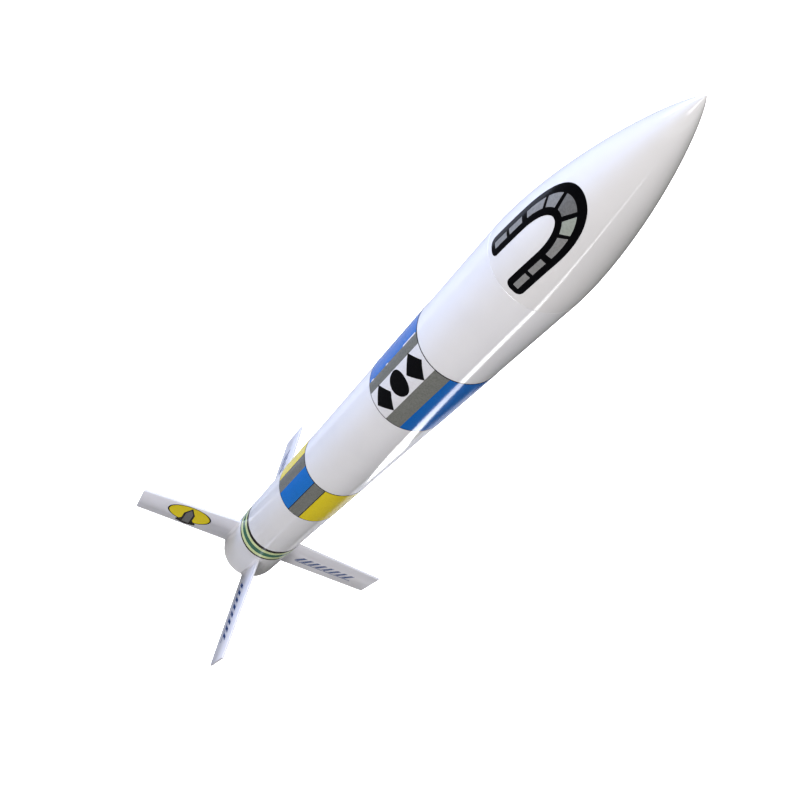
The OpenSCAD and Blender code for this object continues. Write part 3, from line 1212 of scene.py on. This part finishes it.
@dataclass
class NoseCone(SubAssembly):
    """Moulded nose: enamelled ogive, bare shoulder, and an arch-shaped decal on one side."""

    body: Body = Body.NOSE
    radius: float = 20.8
    base: float = 457.4
    length: float = 100.0
    fullness: float = 1.6
    bluntness: float = 0.8
    wall: float = 1.2
    shoulder_outer: float = 20.17
    shoulder_inner: float = 18.97
    shoulder_foot: float = 427.2
    arch_azimuth: float = -138.0

    def skin(self, tree: Tree, inner: bool) -> bpy.types.Mesh:
        """Run the ogive tree for the outer or the inner skin.

        Args:
            tree: The ogive's tree.
            inner: Whether it is the inner skin.

        Returns:
            The skin as a plain mesh.
        """
        return run_tree(
            tree,
            {
                "Radius": (self.radius - (self.wall if inner else 0)) * MM,
                "Length": (self.length - (4 * self.wall if inner else 0)) * MM,
                "Base": self.base * MM,
                "Fullness": self.fullness,
                "Bluntness": self.bluntness,
                "Segments": 96 if inner else 160,
                "Steps": 24 if inner else 72,
                "Inner": inner,
                "Material": WHITE_NOSE.material(),
            },
        )

    def build(self, tree: Tree) -> None:
        """Make the cone with its shoulder, then lay the decal on it.

        Args:
            tree: The ogive's tree.
        """
        draft = Draft()
        draft.add_mesh(self.skin(tree, False), WHITE_NOSE)
        draft.add_mesh(self.skin(tree, True), WHITE_STYRENE)
        chamfer = 0.6
        shoulder = [
            (self.radius - self.wall, self.base),
            (self.shoulder_inner, self.base),
            (self.shoulder_inner, self.shoulder_foot),
            (self.shoulder_outer - chamfer, self.shoulder_foot),
            (self.shoulder_outer, self.shoulder_foot + chamfer),
            (self.shoulder_outer, self.base),
            (self.radius, self.base),
        ]
        draft.add(*lathe(shoulder, 160, closed=False), WHITE_STYRENE)
        self.settle(draft.piece("nose_shell", merge=0.001), "nose_plastic", "nose_cone")
        self.settle(self.arch(), "decal_film")
        self.dress("nose_base", WHITE_STYRENE)

    def radius_at(self, height: float) -> float:
        """Radius of the ogive at a height in millimetres."""
        share = min(max((height - self.base) / self.length, 0.0), 1.0)
        return self.radius * (1 - share**self.fullness) ** self.bluntness

    def place(self, across: float, up: float, height: float) -> Point:
        """Lay one flat position of the decal on the ogive: across is an arc length, up is the height.

        Args:
            across: Arc length from the middle of the decal, in millimetres.
            up: Height in millimetres.
            height: Height above the surface, in millimetres.

        Returns:
            The point in metres.
        """
        radius = self.radius_at(up)
        angle = math.radians(self.arch_azimuth) + across / radius
        return ((radius + height) * MM * math.cos(angle), (radius + height) * MM * math.sin(angle), up * MM)

    @staticmethod
    def arch_path(half: float, spring: float, top: float, foot: float, turn: float) -> Flat:
        """One point of an arch: turn -1 to 0 goes up the left leg, 0 to 180 over the crown, 180 to 181 down.

        Args:
            half: Half its width in millimetres.
            spring: Height where the crown starts.
            top: Height of the crown.
            foot: Height of the feet.
            turn: Where on the arch the point is.

        Returns:
            Position across, and height.
        """
        if turn < 0:
            return (-half, spring + (spring - foot) * turn)
        if turn > 180:
            return (half, spring - (spring - foot) * (turn - 180))
        angle = math.radians(180 - turn)
        return (half * math.cos(angle), spring + (top - spring) * math.sin(angle))

    def strip_rows(
        self, outer: Arch, inner: Arch, turns: Sequence[Flat], round_ends: float = 0.0
    ) -> list[list[Flat]]:
        """Rows of flat positions between two arches.

        Args:
            outer: Half-width, spring height, crown height and foot of the outer arch.
            inner: The same for the inner arch.
            turns: Where each row is on the outer and on the inner arch.
            round_ends: Radius that rounds off the feet, in millimetres.

        Returns:
            Rows from the inner edge to the outer, so that they face outwards.
        """
        rows: list[list[Flat]] = [[] for _ in range(5)]
        for first, second in turns:
            a, b = self.arch_path(*outer, first), self.arch_path(*inner, second)
            if round_ends:
                rise = min(a[1], b[1]) - outer[3]
                if rise < round_ends and (first < 0 or first > 180):
                    cut = round_ends - math.sqrt(max(round_ends**2 - (round_ends - rise) ** 2, 0.0))
                    sign = math.copysign(1, a[0])
                    a, b = (a[0] - sign * cut, a[1]), (b[0] + sign * cut, b[1])
            for r in range(5):
                rows[r].append((b[0] + (a[0] - b[0]) * r / 4, b[1] + (a[1] - b[1]) * r / 4))
        return rows

    def arch(self) -> Thing:
        """Make the arch: a black horseshoe with nine grey panes set in it.

        Returns:
            The finished decal.
        """
        foot = 460.3
        outer, inner = (12.05, 484.0, 510.6, foot), (4.85, 481.0, 495.6, foot)
        pane_outer, pane_inner = (9.6, 484.0, 506.3, foot), (7.3, 481.0, 499.0, foot)
        legs = [-1 + 0.02 * i * i / 8 for i in range(9)] + [-0.7, -0.5, -0.25]
        crown = [180 * i / 48 for i in range(49)]
        turns = legs + crown + [180 - t for t in reversed(legs)]
        draft = Draft()
        rows = self.strip_rows(outer, inner, [(t, t) for t in turns], 2.6)
        draft.add(*plate(rows, self.place, 0.06), BLACK_FILM)

        def leg(height: float, spring: float) -> float:
            """Say how far along a leg a height is, as arch_path() counts it."""
            return (height - spring) / (spring - foot)

        spans = [
            (LIGHT_GREY_FILM, [(leg(z, 484.0), leg(z, 481.0)) for z in (463.0, 467.0, 471.1)]),
            (LIGHT_GREY_FILM, [(leg(z, 484.0), min(leg(z, 481.0), 3.0)) for z in (472.9, 477.0, 480.9)]),
            (LIGHT_GREY_FILM, [(28.8 * i / 8 + 0.5, 9.3 + 29.6 * i / 8) for i in range(9)]),
            (PALE_GREEN_FILM, [(33.8 + 27.1 * i / 8, 45.7 + 22.4 * i / 8) for i in range(9)]),
        ]
        for finish, pairs in spans:
            for mirror in (False, True):
                used = [(180 - a, 180 - b) for a, b in reversed(pairs)] if mirror else pairs
                ink = LIGHT_GREY_FILM if finish is PALE_GREEN_FILM and not mirror else finish
                draft.add(*plate(self.strip_rows(pane_outer, pane_inner, used), self.place, 0.1), ink)
        top = [(68.5 + 43.0 * i / 10, 79.3 + 21.4 * i / 10) for i in range(11)]
        draft.add(*plate(self.strip_rows(pane_outer, pane_inner, top), self.place, 0.1), DARK_GREY_FILM)
        return draft.piece("nose_arch_decal")


@dataclass
class FinSet(SubAssembly):
    """Four plywood fins with eased edges, glued fillets along their roots, and a mark on each."""

    root: float = 20.86
    tip: float = 90.0
    root_chord: float = 51.0
    tip_chord: float = 41.0
    thickness: float = 1.6
    tab: float = 9.42
    tab_low: float = 20.66
    tab_high: float = 45.0
    ease: float = 0.22
    fillet: float = 1.5
    tube: float = 20.8
    first_film: float = 0.05
    each_film: float = 0.03
    dash_film: float = 0.07

    @staticmethod
    def turned(turn: Turn, points: Sequence[Point]) -> list[Point]:
        """Turn points about Z to where the fin stands."""
        c, s = round(math.cos(math.radians(turn.value))), round(math.sin(math.radians(turn.value)))
        return [(x * c - y * s, x * s + y * c, z) for x, y, z in points]

    def blade(self) -> tuple[list[Point], Faces]:
        """Make one fin that points along +X: two faces inset by the eased edge, and a rim between them.

        Returns:
            Points in metres and their faces.
        """
        outline = [
            (self.tab, self.tab_low), (self.root, self.tab_low), (self.root, 0.0), (self.tip, 0.0),
            (self.tip, self.tip_chord), (self.root, self.root_chord), (self.root, self.tab_high),
            (self.tab, self.tab_high),
        ]
        count = len(outline)
        inset = []
        for i, (x, z) in enumerate(outline):
            (px, pz), (nx, nz) = outline[i - 1], outline[(i + 1) % count]
            a = Vector((x - px, z - pz)).normalized()
            b = Vector((nx - x, nz - z)).normalized()
            left = Vector((-a.y, a.x)) + Vector((-b.y, b.x))
            left = left / max(left.dot(Vector((-a.y, a.x))), 0.3)
            inset.append((x + left.x * self.ease, z + left.y * self.ease))
        half = self.thickness / 2
        rings = [
            [(x, -half, z) for x, z in inset],
            [(x, -half + self.ease, z) for x, z in outline],
            [(x, half - self.ease, z) for x, z in outline],
            [(x, half, z) for x, z in inset],
        ]
        points = [(x * MM, y * MM, z * MM) for ring in rings for x, y, z in ring]
        faces = []
        for k in range(3):
            for i in range(count):
                j = (i + 1) % count
                faces.append((k * count + i, k * count + count + i, k * count + count + j, k * count + j))
        faces += [tuple(range(count)), tuple(3 * count + i for i in reversed(range(count)))]
        return points, faces

    def fillets(self) -> list[tuple[list[Point], Faces]]:
        """Make the two glue fillets at the root of a fin that points along +X.

        Returns:
            Points in metres and faces of each.
        """
        made = []
        low, high, half = 0.4, self.root_chord - 0.6, self.thickness / 2
        for side in (1, -1):
            foot = half + self.fillet
            on_tube = (math.sqrt(self.tube**2 - foot**2), foot)
            on_fin = (self.tube + self.fillet, half)
            section = [(self.tube - 0.3, half - 0.2), on_fin]
            for i in range(1, 8):
                t = i / 8
                bow = 0.42 * self.fillet * math.sin(math.pi * t) * 0.5
                x = on_fin[0] + (on_tube[0] - on_fin[0]) * t - bow
                y = on_fin[1] + (on_tube[1] - on_fin[1]) * t - bow
                section.append((x, y))
            section += [on_tube, (on_tube[0] - 0.2, on_tube[1] - 0.1)]
            if side < 0:
                section = [(x, -y) for x, y in reversed(section)]
            n = len(section)
            levels = (low, low + 0.5, high - 0.5, high)
            shrink = (0.35, 1.0, 1.0, 0.35)
            core = section[0] if side > 0 else section[-1]
            points = [
                ((core[0] + (x - core[0]) * s) * MM, (core[1] + (y - core[1]) * s) * MM, z * MM)
                for z, s in zip(levels, shrink)
                for x, y in section
            ]
            faces = grid_faces(4, n, True)
            faces += [tuple(reversed(range(n))), tuple(3 * n + i for i in range(n))]
            made.append((points, faces))
        return made

    def on_face(self, turn: Turn, side: int, middle: Flat = (0.0, 0.0)) -> Placer:
        """Give the function that lays flat positions on one face of a fin.

        Args:
            turn: Which fin.
            side: -1 or 1: the face towards -Y or +Y of a fin that points along +X.
            middle: Span and height of the position that counts as zero.

        Returns:
            Span, height and height above the face in millimetres to a point in metres.
        """
        half = self.thickness / 2

        def place(span: float, up: float, height: float) -> Point:
            """Lay one flat position on the fin's face."""
            flat = ((middle[0] + span) * MM, side * (half + height) * MM, (middle[1] + up) * MM)
            return self.turned(turn, [flat])[0]

        return place

    def flat_rows(self, rows: list[list[Flat]], side: int) -> list[list[Flat]]:
        """Order rows so that a plate faces outwards on either side."""
        return rows if side < 0 else [list(reversed(row)) for row in rows]

    def disc(self, across: float, tall: float, columns: int = 72) -> list[list[Flat]]:
        """Lay out an ellipse whose columns crowd towards its ends.

        Args:
            across: Half width in millimetres.
            tall: Half height in millimetres.
            columns: Number of steps across.

        Returns:
            Rows of flat positions for plate().
        """
        turns = [math.pi * c / columns for c in range(columns + 1)]
        return [[(-across * math.cos(t), side * tall * max(math.sin(t), 0.02)) for t in turns] for side in (-1, 1)]

    def gable(self, low: Flat, high: Flat, half: float) -> list[list[Flat]]:
        """Lay out a flat shape whose two edges bend at its middle.

        Args:
            low: Height of the lower edge at the middle, and its slope away from there.
            high: The same for the upper edge.
            half: Half width in millimetres.

        Returns:
            Rows of flat positions for plate().
        """
        edges = [lambda u, edge=edge: edge[0] + edge[1] * abs(u) for edge in (low, high)]
        return columns_between(*edges, -half, half, 16)

    def patch(self, turn: Turn) -> Thing:
        """Make the round yellow patch with a dark rim and a plain dart on it.

        Args:
            turn: Which fin carries it.

        Returns:
            The finished piece, with the patch on both faces.
        """
        across, tall, rim = 15.9, 17.4, 1.1
        layers = (
            (self.disc(across, tall), BLACK_FILM),
            (self.disc(across - rim, tall - rim), YELLOW_FILM),
            (self.gable((-24.0, 0.5), (-4.0, -1.9), 7.4), SLATE_FILM),
            (self.gable((-21.0, 0.0), (15.0, -3.6), 4.0), SLATE_FILM),
            (self.gable((-19.5, 0.0), (11.0, -3.6), 2.6), DARK_GREY_FILM),
        )
        draft = Draft()
        for side in (-1, 1):
            place = self.on_face(turn, side, (53.8, 27.0))
            for step, (rows, ink) in enumerate(layers):
                draft.add(*plate(self.flat_rows(rows, side), place, self.first_film + self.each_film * step), ink)
        return draft.piece("fin_1_round_patch")

    def dashes(self, turn: Turn, tree: Tree) -> Thing:
        """Make a row of leaning dashes with a thin line under it, on both faces of a fin.

        Args:
            turn: Which fin carries them.
            tree: The row's tree.

        Returns:
            The finished piece.
        """
        draft = Draft()
        thick = self.dash_film
        runs = ((8, 34.0, 20.9, 5.4, 2.7, 11.2, 0.42), (2, 31.5, 13.7, 22.6, 21.4, 1.0, 0.0))
        for side in (-1, 1):
            for count, first, up, pitch, width, tall, lean in runs:
                centre = first if width < 10 else first + width / 2
                mesh = run_tree(
                    tree,
                    {
                        "Count": count,
                        "First": (centre * MM, side * (self.thickness + thick) / 2 * MM, up * MM),
                        "Pitch": pitch * MM,
                        "Width": width * MM,
                        "Height": tall * MM,
                        "Thickness": thick * MM,
                        "Lean": lean,
                        "Material": NAVY_FILM.material(),
                    },
                )
                turned = self.turned(turn, [tuple(v.co) for v in mesh.vertices])
                draft.add(turned, [tuple(p.vertices) for p in mesh.polygons], NAVY_FILM)
                bpy.data.meshes.remove(mesh)
        return draft.piece(turn.name.lower() + "_dash_marks")

    def build(self, tree: Tree) -> None:
        """Make the four fins, their fillets and their marks.

        Args:
            tree: The tree of a row of dashes.
        """
        for turn in Turn:
            draft = Draft()
            points, faces = self.blade()
            draft.add(self.turned(turn, points), faces, WHITE_FIN)
            for points, faces in self.fillets():
                draft.add(self.turned(turn, points), faces, FILLET_GLUE)
            node = turn.name.lower()
            self.settle(draft.piece(node + "_blade", sharp=50), "painted_fin", node)
            mark = self.patch(turn) if turn is Turn.FIN_1 else self.dashes(turn, tree)
            self.settle(mark, "decal_film")


@dataclass
class DressedNodes(SubAssembly):
    """Nodes that keep their CAD shapes, each with its finish."""

    dressing: tuple[tuple[str, Finish], ...] = ()

    def build(self) -> None:
        """Dress every node."""
        for node, finish in self.dressing:
            self.dress(node, finish)


@dataclass
class MotorMount(DressedNodes):
    """Motor tube, its two rings, thrust ring, retainer, cord anchor and the lugs."""

    dressing: tuple[tuple[str, Finish], ...] = (
        ("motor_tube", KRAFT),
        ("centering_ring_aft", PLY),
        ("centering_ring_fwd", PLY),
        ("thrust_ring", FIBRE),
        ("retainer_ring", NYLON),
        ("retainer_cap", NYLON),
        ("launch_lug_aft", WHITE_LUG),
        ("launch_lug_fwd", WHITE_LUG),
        ("shock_cord_anchor", CARD),
    )


@dataclass
class Motor(DressedNodes):
    """Single-use motor: printed case, clay nozzle, grains, charge and end cap."""

    body: Body = Body.MOTOR
    dressing: tuple[tuple[str, Finish], ...] = (
        ("motor_case", MOTOR_WRAP),
        ("clay_nozzle", CLAY),
        ("propellant_grain", BLACK_POWDER),
        ("delay_grain", DELAY_POWDER),
        ("ejection_charge", BLACK_POWDER),
        ("case_cap", CARD),
    )


@dataclass
class ShockCord(SubAssembly):
    """Flat elastic: a lead glued under the anchor, then folds, and a loop through the nose's eye."""

    width: float = 6.0
    thick: float = 1.0
    lead_y: float = 17.99
    lead_top: float = 413.2
    foot: float = 319.4
    pitch: float = 4.5
    runs: int = 22
    fold_half: float = 13.75
    riser: float = 418.9
    loop_height: float = 421.1
    loop_half: Flat = (2.25, 2.45)
    loop_width: float = 2.9

    def ribbon(self, path: Sequence[Vector], across: Vector, width: Sequence[float], finish: Finish) -> Draft:
        """Make a flat closed band along a path.

        Args:
            path: Points of its middle in millimetres.
            across: Unit direction of its width.
            width: Its width at each point.
            finish: Its finish.

        Returns:
            A draft with the band in it.
        """
        points, uvs, run = [], [], 0.0
        lower = [(-0.5, -0.32), (-0.44, -0.5), (0.44, -0.5), (0.5, -0.32)]
        shape = lower + [(-a, -b) for a, b in lower]
        for i, middle in enumerate(path):
            ahead = (path[min(i + 1, len(path) - 1)] - path[max(i - 1, 0)]).normalized()
            up = across.cross(ahead).normalized()
            run += (middle - path[i - 1]).length if i else 0.0
            for a, b in shape:
                spot = middle + across * a * width[i] + up * b * self.thick
                points.append((spot.x * MM, spot.y * MM, spot.z * MM))
                uvs.append((run * MM, a * width[i] * MM))
        n, rows = len(shape), len(path)
        faces = [tuple(reversed(f)) for f in grid_faces(rows, n, True)]
        faces += [tuple(range(n)), tuple((rows - 1) * n + i for i in reversed(range(n)))]
        draft = Draft()
        draft.add(points, faces, finish, uvs)
        return draft

    def fold_path(self) -> list[Vector]:
        """Middle line of the folds, from the end of the lead to under the eye.

        Returns:
            Its points in millimetres.
        """
        points = []
        for i in range(self.runs):
            level = self.foot + i * self.pitch
            sign = 1 if i % 2 == 0 else -1
            first = 0.0 if i == 0 else -sign * self.fold_half
            last = 0.0 if i == self.runs - 1 else sign * self.fold_half
            sag = 0.35 * math.sin(i * 2.3)
            for k in range(9):
                t = k / 8
                sway, drop = 0.25 * math.sin(1.7 * i + 5 * t), sag * math.sin(math.pi * t)
                points.append(Vector((first + (last - first) * t, sway, level + drop)))
            if i < self.runs - 1:
                for k in range(1, 8):
                    a = math.pi * k / 8 - math.pi / 2
                    radius = self.pitch / 2
                    out, rise = self.fold_half + radius * math.cos(a), radius + radius * math.sin(a)
                    points.append(Vector((sign * out, 0.0, level + rise)))
        points += [Vector((0.0, 0.0, z)) for z in (self.riser - 4.4, self.riser - 2.6, self.riser - 0.9)]
        return points

    def build(self) -> None:
        """Make the lead, the folds and the loop through the eye."""
        lead = [Vector((0.0, self.lead_y, z)) for z in (self.lead_top, 400.0, 380.0, 360.0, 340.0, 323.0)]
        lead += [
            Vector((0.0, self.lead_y - 1.6 * (1 - math.cos(a)), 321.0 - 1.6 * math.sin(a)))
            for a in (0.3, 0.8, 1.3, math.pi / 2)
        ]
        lead += [Vector((0.0, y, self.foot)) for y in (14.0, 10.0, 6.0, 2.6)]
        x, y = Vector((1, 0, 0)), Vector((0, 1, 0))
        piece = self.ribbon(lead, x, [self.width] * len(lead), ELASTIC).piece("shock_cord_lead", 60)
        self.settle(piece, "woven_elastic")
        path = self.fold_path()
        widths = [self.width] * (len(path) - 3) + [self.width * 0.9, self.width * 0.6, 3.0]
        piece = self.ribbon(path, y, widths, ELASTIC).piece("shock_cord_folds", 60)
        foot, top = (0.0, 0.0, (self.foot + 1.0) * MM), (0.0, 0.0, (self.riser - 2.0) * MM)
        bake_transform(piece)
        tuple(foot)
        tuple(top)
        self.label(piece, "woven_elastic", "shock_cord")
        loop = []
        for k in range(25):
            a = 2 * math.pi * k / 24 - math.pi / 2
            out, rise = self.loop_half[0] * math.cos(a), self.loop_half[1] * math.sin(a)
            loop.append(Vector((out, 0.0, self.loop_height + rise)))
        piece = self.ribbon(loop, y, [self.loop_width] * len(loop), ELASTIC).piece("shock_cord_loop", 60)
        self.settle(piece, "woven_elastic", body=Body.NOSE)


@dataclass
class Recovery(SubAssembly):
    """Rolled parachute with its wound lines, and the crumpled wadding under it."""

    roll_radius: float = 16.5
    roll_foot: float = 105.9
    roll_height: float = 85.0
    turns: int = 18
    wad_radius: float = 17.6
    wad_foot: float = 79.9
    wad_height: float = 25.0
    sheets: int = 5

    def roll(self) -> Thing:
        """Roll the folded canopy into a spiral with ruffled ends.

        Returns:
            The finished piece, with a live Solidify.
        """
        steps = 44
        count, inner = self.turns * steps + 1, 1.6
        levels = [0.0, 0.02, 0.06, 0.16, 0.35, 0.65, 0.84, 0.94, 0.98, 1.0]
        points, uvs, run = [], [], 0.0
        pitch = (self.roll_radius - 0.5 - inner) / self.turns
        last = None
        for level in levels:
            run, last = 0.0, None
            for c in range(count):
                angle = 2 * math.pi * c / steps
                base = inner + pitch * c / steps
                ripple = 0.16 * pitch * math.sin(angle * 5.3 + level * 9)
                swell = 0.12 * pitch * math.sin(angle * 2.1 - level * 14)
                radius = base + (ripple + swell)
                end = min(level, 1 - level)
                ruffle = (1.6 * noise.noise(Vector((angle * 0.9, level * 4, 1.7)))) if end < 0.05 else 0.0
                tuck = 1 - 0.12 * max(0.0, 1 - end / 0.06) * (radius / self.roll_radius)
                z = self.roll_foot + 1.5 + (self.roll_height - 3.0) * level + ruffle
                spot = (radius * tuck * math.cos(angle), radius * tuck * math.sin(angle), z)
                if last:
                    run += math.dist(spot, last)
                last = spot
                points.append(tuple(v * MM for v in spot))
                uvs.append((run * MM, z * MM))
        draft = Draft()
        draft.add(points, grid_faces(len(levels), count), CANOPY, uvs)
        piece = draft.piece("parachute_roll", 60)
        skin = piece.modifiers.new("film", "SOLIDIFY")
        skin.thickness, skin.offset = 0.06 * MM, 0.0
        return piece

    def wad(self) -> Thing:
        """Crumple the sheets of wadding into flattened balls that fill the tube.

        Returns:
            The finished piece.
        """
        draft = Draft()
        rows, columns = 26, 56
        each = self.wad_height / self.sheets
        for s in range(self.sheets):
            middle = self.wad_foot + each * (s + 0.5)
            points = []
            for r in range(rows):
                v = math.pi * r / (rows - 1) - math.pi / 2
                for c in range(columns):
                    u = 2 * math.pi * c / columns
                    flat = Vector((math.cos(u) * math.cos(v), math.sin(u) * math.cos(v), math.sin(v)))
                    rough = noise.fractal(flat * 3.1 + Vector((s * 7.0, 0, 0)), 0.8, 2.2, 4)
                    folds = abs(noise.noise(flat * 6.5 + Vector((0, s * 5.0, 3.0))))
                    swell = 0.93 - 0.10 * folds + 0.06 * rough
                    out = min(abs(math.cos(v)) ** 0.45, 1.0) * self.wad_radius * min(swell, 1.0)
                    lift = math.copysign(abs(math.sin(v)) ** 0.6, v) * each * 0.5 * (0.9 + 0.2 * rough)
                    lift = max(-each * 0.5, min(each * 0.5, lift))
                    points.append((out * math.cos(u) * MM, out * math.sin(u) * MM, (middle + lift) * MM))
            draft.add(points, grid_faces(rows, columns, True), TISSUE)
        return draft.piece("wadding_sheets", 75, merge=0.002)

    def build(self, tree: Tree) -> None:
        """Args:
            tree: The wound line's tree.
        """
        roll = self.settle(self.roll(), "parachute_film", "parachute")
        draft = Draft()
        for foot, tall, turns in ((0.30, 0.10, 5.0), (0.52, 0.16, 7.0), (0.66, -0.12, 6.0)):
            mesh = run_tree(
                tree,
                {
                    "Turns": turns,
                    "Radius": (self.roll_radius + 0.15) * MM,
                    "Bottom": (self.roll_foot + foot * self.roll_height) * MM,
                    "Height": tall * self.roll_height * MM,
                    "Line Radius": 0.4 * MM,
                    "Material": LINE.material(),
                },
            )
            draft.add_mesh(mesh, LINE)
        lines = self.settle(draft.piece("shroud_lines", 60), "parachute_film")
        wad = self.settle(self.wad(), "wadding_tissue", "recovery_wadding")


# ---------------------------------------------------------------- studio


@dataclass(frozen=True)
class SoftBox:
    """One rectangular light: where it is, where it points, its size in metres and its power."""

    name: str
    place: Point
    aim: Point
    size: Flat
    power: float
    colour: str = "#ffffff"
    only_gloss: bool = False
    spin: float = 0.0


@dataclass(frozen=True)
class Card:
    """A flat card on the floor that shapes the light: its outline in metres is anticlockwise."""

    name: str
    colour: str
    height: float
    corners: tuple[Flat, ...]
    bounces: bool = True
    mirrors: bool = True


# Outlines of the cards.
WIDE = ((-6, -6), (6, -6), (6, 6), (-6, 6))
DARK_SIDE = ((0, 0), (-1.7, 1.05), (-2, -2), (2, -2), (2, 2), (0.3, 2))
PALE_SIDE = ((0.03, -0.015), (0.17, -0.015), (0.25, 0.05), (0.2, 0.2), (0.03, 0.1))
BLACK_SIDE = ((0.26, 0.1), (0.36, -0.35), (1.6, -0.9), (1.6, 1.2), (0.26, 0.9))


@dataclass
class Studio:
    """Pale floor, soft boxes and the camera."""

    eye: Point = (-0.10697, -0.22777, 0.75052)
    right: Point = (0.90008128, 0.25532315, 0.35307759)
    up: Point = (-0.38083982, 0.85469037, 0.35279654)
    forward: Point = (0.21169489, 0.45201156, -0.86652803)
    lens: float = 46.89
    world: float = 0.06
    floor_reach: float = 40.0
    floor_level: float = -0.15
    floor_glow: float = 0.95
    cards: tuple[Card, ...] = (
        Card("grey_bounce_card", "#bcbab6", 0.001, WIDE, True, False),
        Card("grey_gloss_card", "#b2b2b2", 0.0012, WIDE, False),
        Card("dark_gloss_card", "#303030", 0.0015, DARK_SIDE, False),
        Card("pale_near_card", "#d8d8d8", 0.0018, PALE_SIDE, False),
        Card("black_edge_card", "#202020", 0.002, BLACK_SIDE),
    )
    boxes: tuple[SoftBox, ...] = (
        SoftBox("key_softbox", (-0.78, 0.52, 0.62), (0.0, 0.0, 0.35), (0.6, 0.6), 11.5, "#c4d4ff"),
        SoftBox("fill_softbox", (-0.5, -1.2, 1.0), (0.0, 0.0, 0.25), (0.7, 0.7), 13.3, "#f8f5fc"),
        SoftBox("overhead_softbox", (0.1, 0.3, 3.0), (0.1, 0.3, 0.0), (1.6, 1.6), 50.0),
        SoftBox(
            "floor_strip", (0.517, -1.121, 0.004), (0.517, -1.121, 1.0), (0.045, 2.4), 2.0, "#ffffff", True, 18.0
        ),
    )

    def camera(self) -> None:
        """Place the camera."""
        data = bpy.data.cameras.new("camera")
        data.lens, data.sensor_width = self.lens, 36.0
        data.clip_start, data.clip_end = 0.01, 50.0
        eye = bpy.data.objects.new("camera", data)
        axes = Matrix((self.right, self.up, tuple(-v for v in self.forward))).transposed()
        eye.matrix_world = Matrix.Translation(self.eye) @ axes.to_4x4()
        bpy.context.scene.collection.objects.link(eye)
        bpy.context.scene.camera = eye

    def lights(self) -> None:
        """Hang the soft boxes and set an even pale surround."""
        for box in self.boxes:
            data = bpy.data.lights.new(box.name, "AREA")
            data.shape, data.size, data.size_y = "RECTANGLE", *box.size
            data.energy, data.color = box.power, linear(box.colour)[:3]
            lamp = bpy.data.objects.new(box.name, data)
            toward = (Vector(box.aim) - Vector(box.place)).to_track_quat("-Z", "Y")
            turn = Matrix.Rotation(math.radians(box.spin), 4, "Z")
            lamp.matrix_world = Matrix.Translation(box.place) @ turn @ toward.to_matrix().to_4x4()
            lamp.visible_camera = False
            lamp.visible_diffuse = not box.only_gloss
            bpy.context.scene.collection.objects.link(lamp)
        world = bpy.data.worlds.new("surround")
        world.use_nodes = True
        world.node_tree.nodes.clear()
        sky = add_node(world.node_tree, "ShaderNodeBackground", {"Color": linear("#f4f6fa"), "Strength": self.world})
        add_node(world.node_tree, "ShaderNodeOutputWorld", {0: sky.outputs[0]})
        bpy.context.scene.world = world

    def flat(
        self, name: str, colour: str, roughness: float, level: float, corners: Sequence[Flat]
    ) -> tuple[Thing, Node]:
        """Make a flat sheet of the studio.

        Args:
            name: Its name.
            colour: Its sRGB hex colour.
            roughness: How matt it is, from 0 to 1.
            level: Its height in metres.
            corners: Its outline in metres, anticlockwise.

        Returns:
            The sheet and its shader.
        """
        material = bpy.data.materials.new(name)
        material.use_nodes = True
        shader = material.node_tree.nodes["Principled BSDF"]
        shader.inputs["Base Color"].default_value = linear(colour)
        shader.inputs["Roughness"].default_value = roughness
        mesh = bpy.data.meshes.new(name)
        mesh.from_pydata([(x, y, level) for x, y in corners], [], [tuple(range(len(corners)))])
        mesh.materials.append(material)
        sheet = bpy.data.objects.new(name, mesh)
        bpy.context.scene.collection.objects.link(sheet)
        return sheet, shader

    def floor(self) -> None:
        """Lay the floor, low enough for the motor to slide out above it."""
        far = self.floor_reach
        corners = ((-far, -far), (far, -far), (far, far), (-far, far))
        floor, shader = self.flat("floor", "#fdfdfd", 0.9, self.floor_level, corners)
        shader.inputs["Specular IOR Level"].default_value = 0.1
        # Lit from inside like a light table, so that no shadow falls on it.
        shader.inputs["Emission Color"].default_value = linear("#ffffff")
        shader.inputs["Emission Strength"].default_value = self.floor_glow

    def card(self, item: Card) -> None:
        """Lay a card that the rocket sees in place of the pale floor, and the camera doesn't.

        Args:
            item: The card.
        """
        card, _ = self.flat(item.name, item.colour, 1.0, item.height, item.corners)
        card.visible_camera = card.visible_shadow = False
        card.visible_diffuse, card.visible_glossy = item.bounces, item.mirrors

    def build(self) -> None:
        """Set the whole studio."""
        self.camera()
        self.lights()
        self.floor()
        for item in self.cards:
            self.card(item)
        view = bpy.context.scene.view_settings
        view.view_transform, view.look, view.exposure, view.gamma = "Standard", "None", 0.0, 1.0


def main() -> None:
    """Build the studio, then the rocket from its tube outwards."""
    logging.basicConfig(level=logging.INFO, format="%(name)s: %(message)s")
    Studio().build()
    strips, dashes = curved_strip_tree(), dash_row_tree()
    tube = BodyTube()
    tube.build()
    for band in (upper_band(), lower_band(), tail_band()):
        band.build(strips, tube)
    NoseCone().build(ogive_tree())
    FinSet().build(dashes)
    MotorMount().build()
    Motor().build()
    ShockCord().build()
    Recovery().build(winding_tree())


if __name__ == "__main__":
    main()
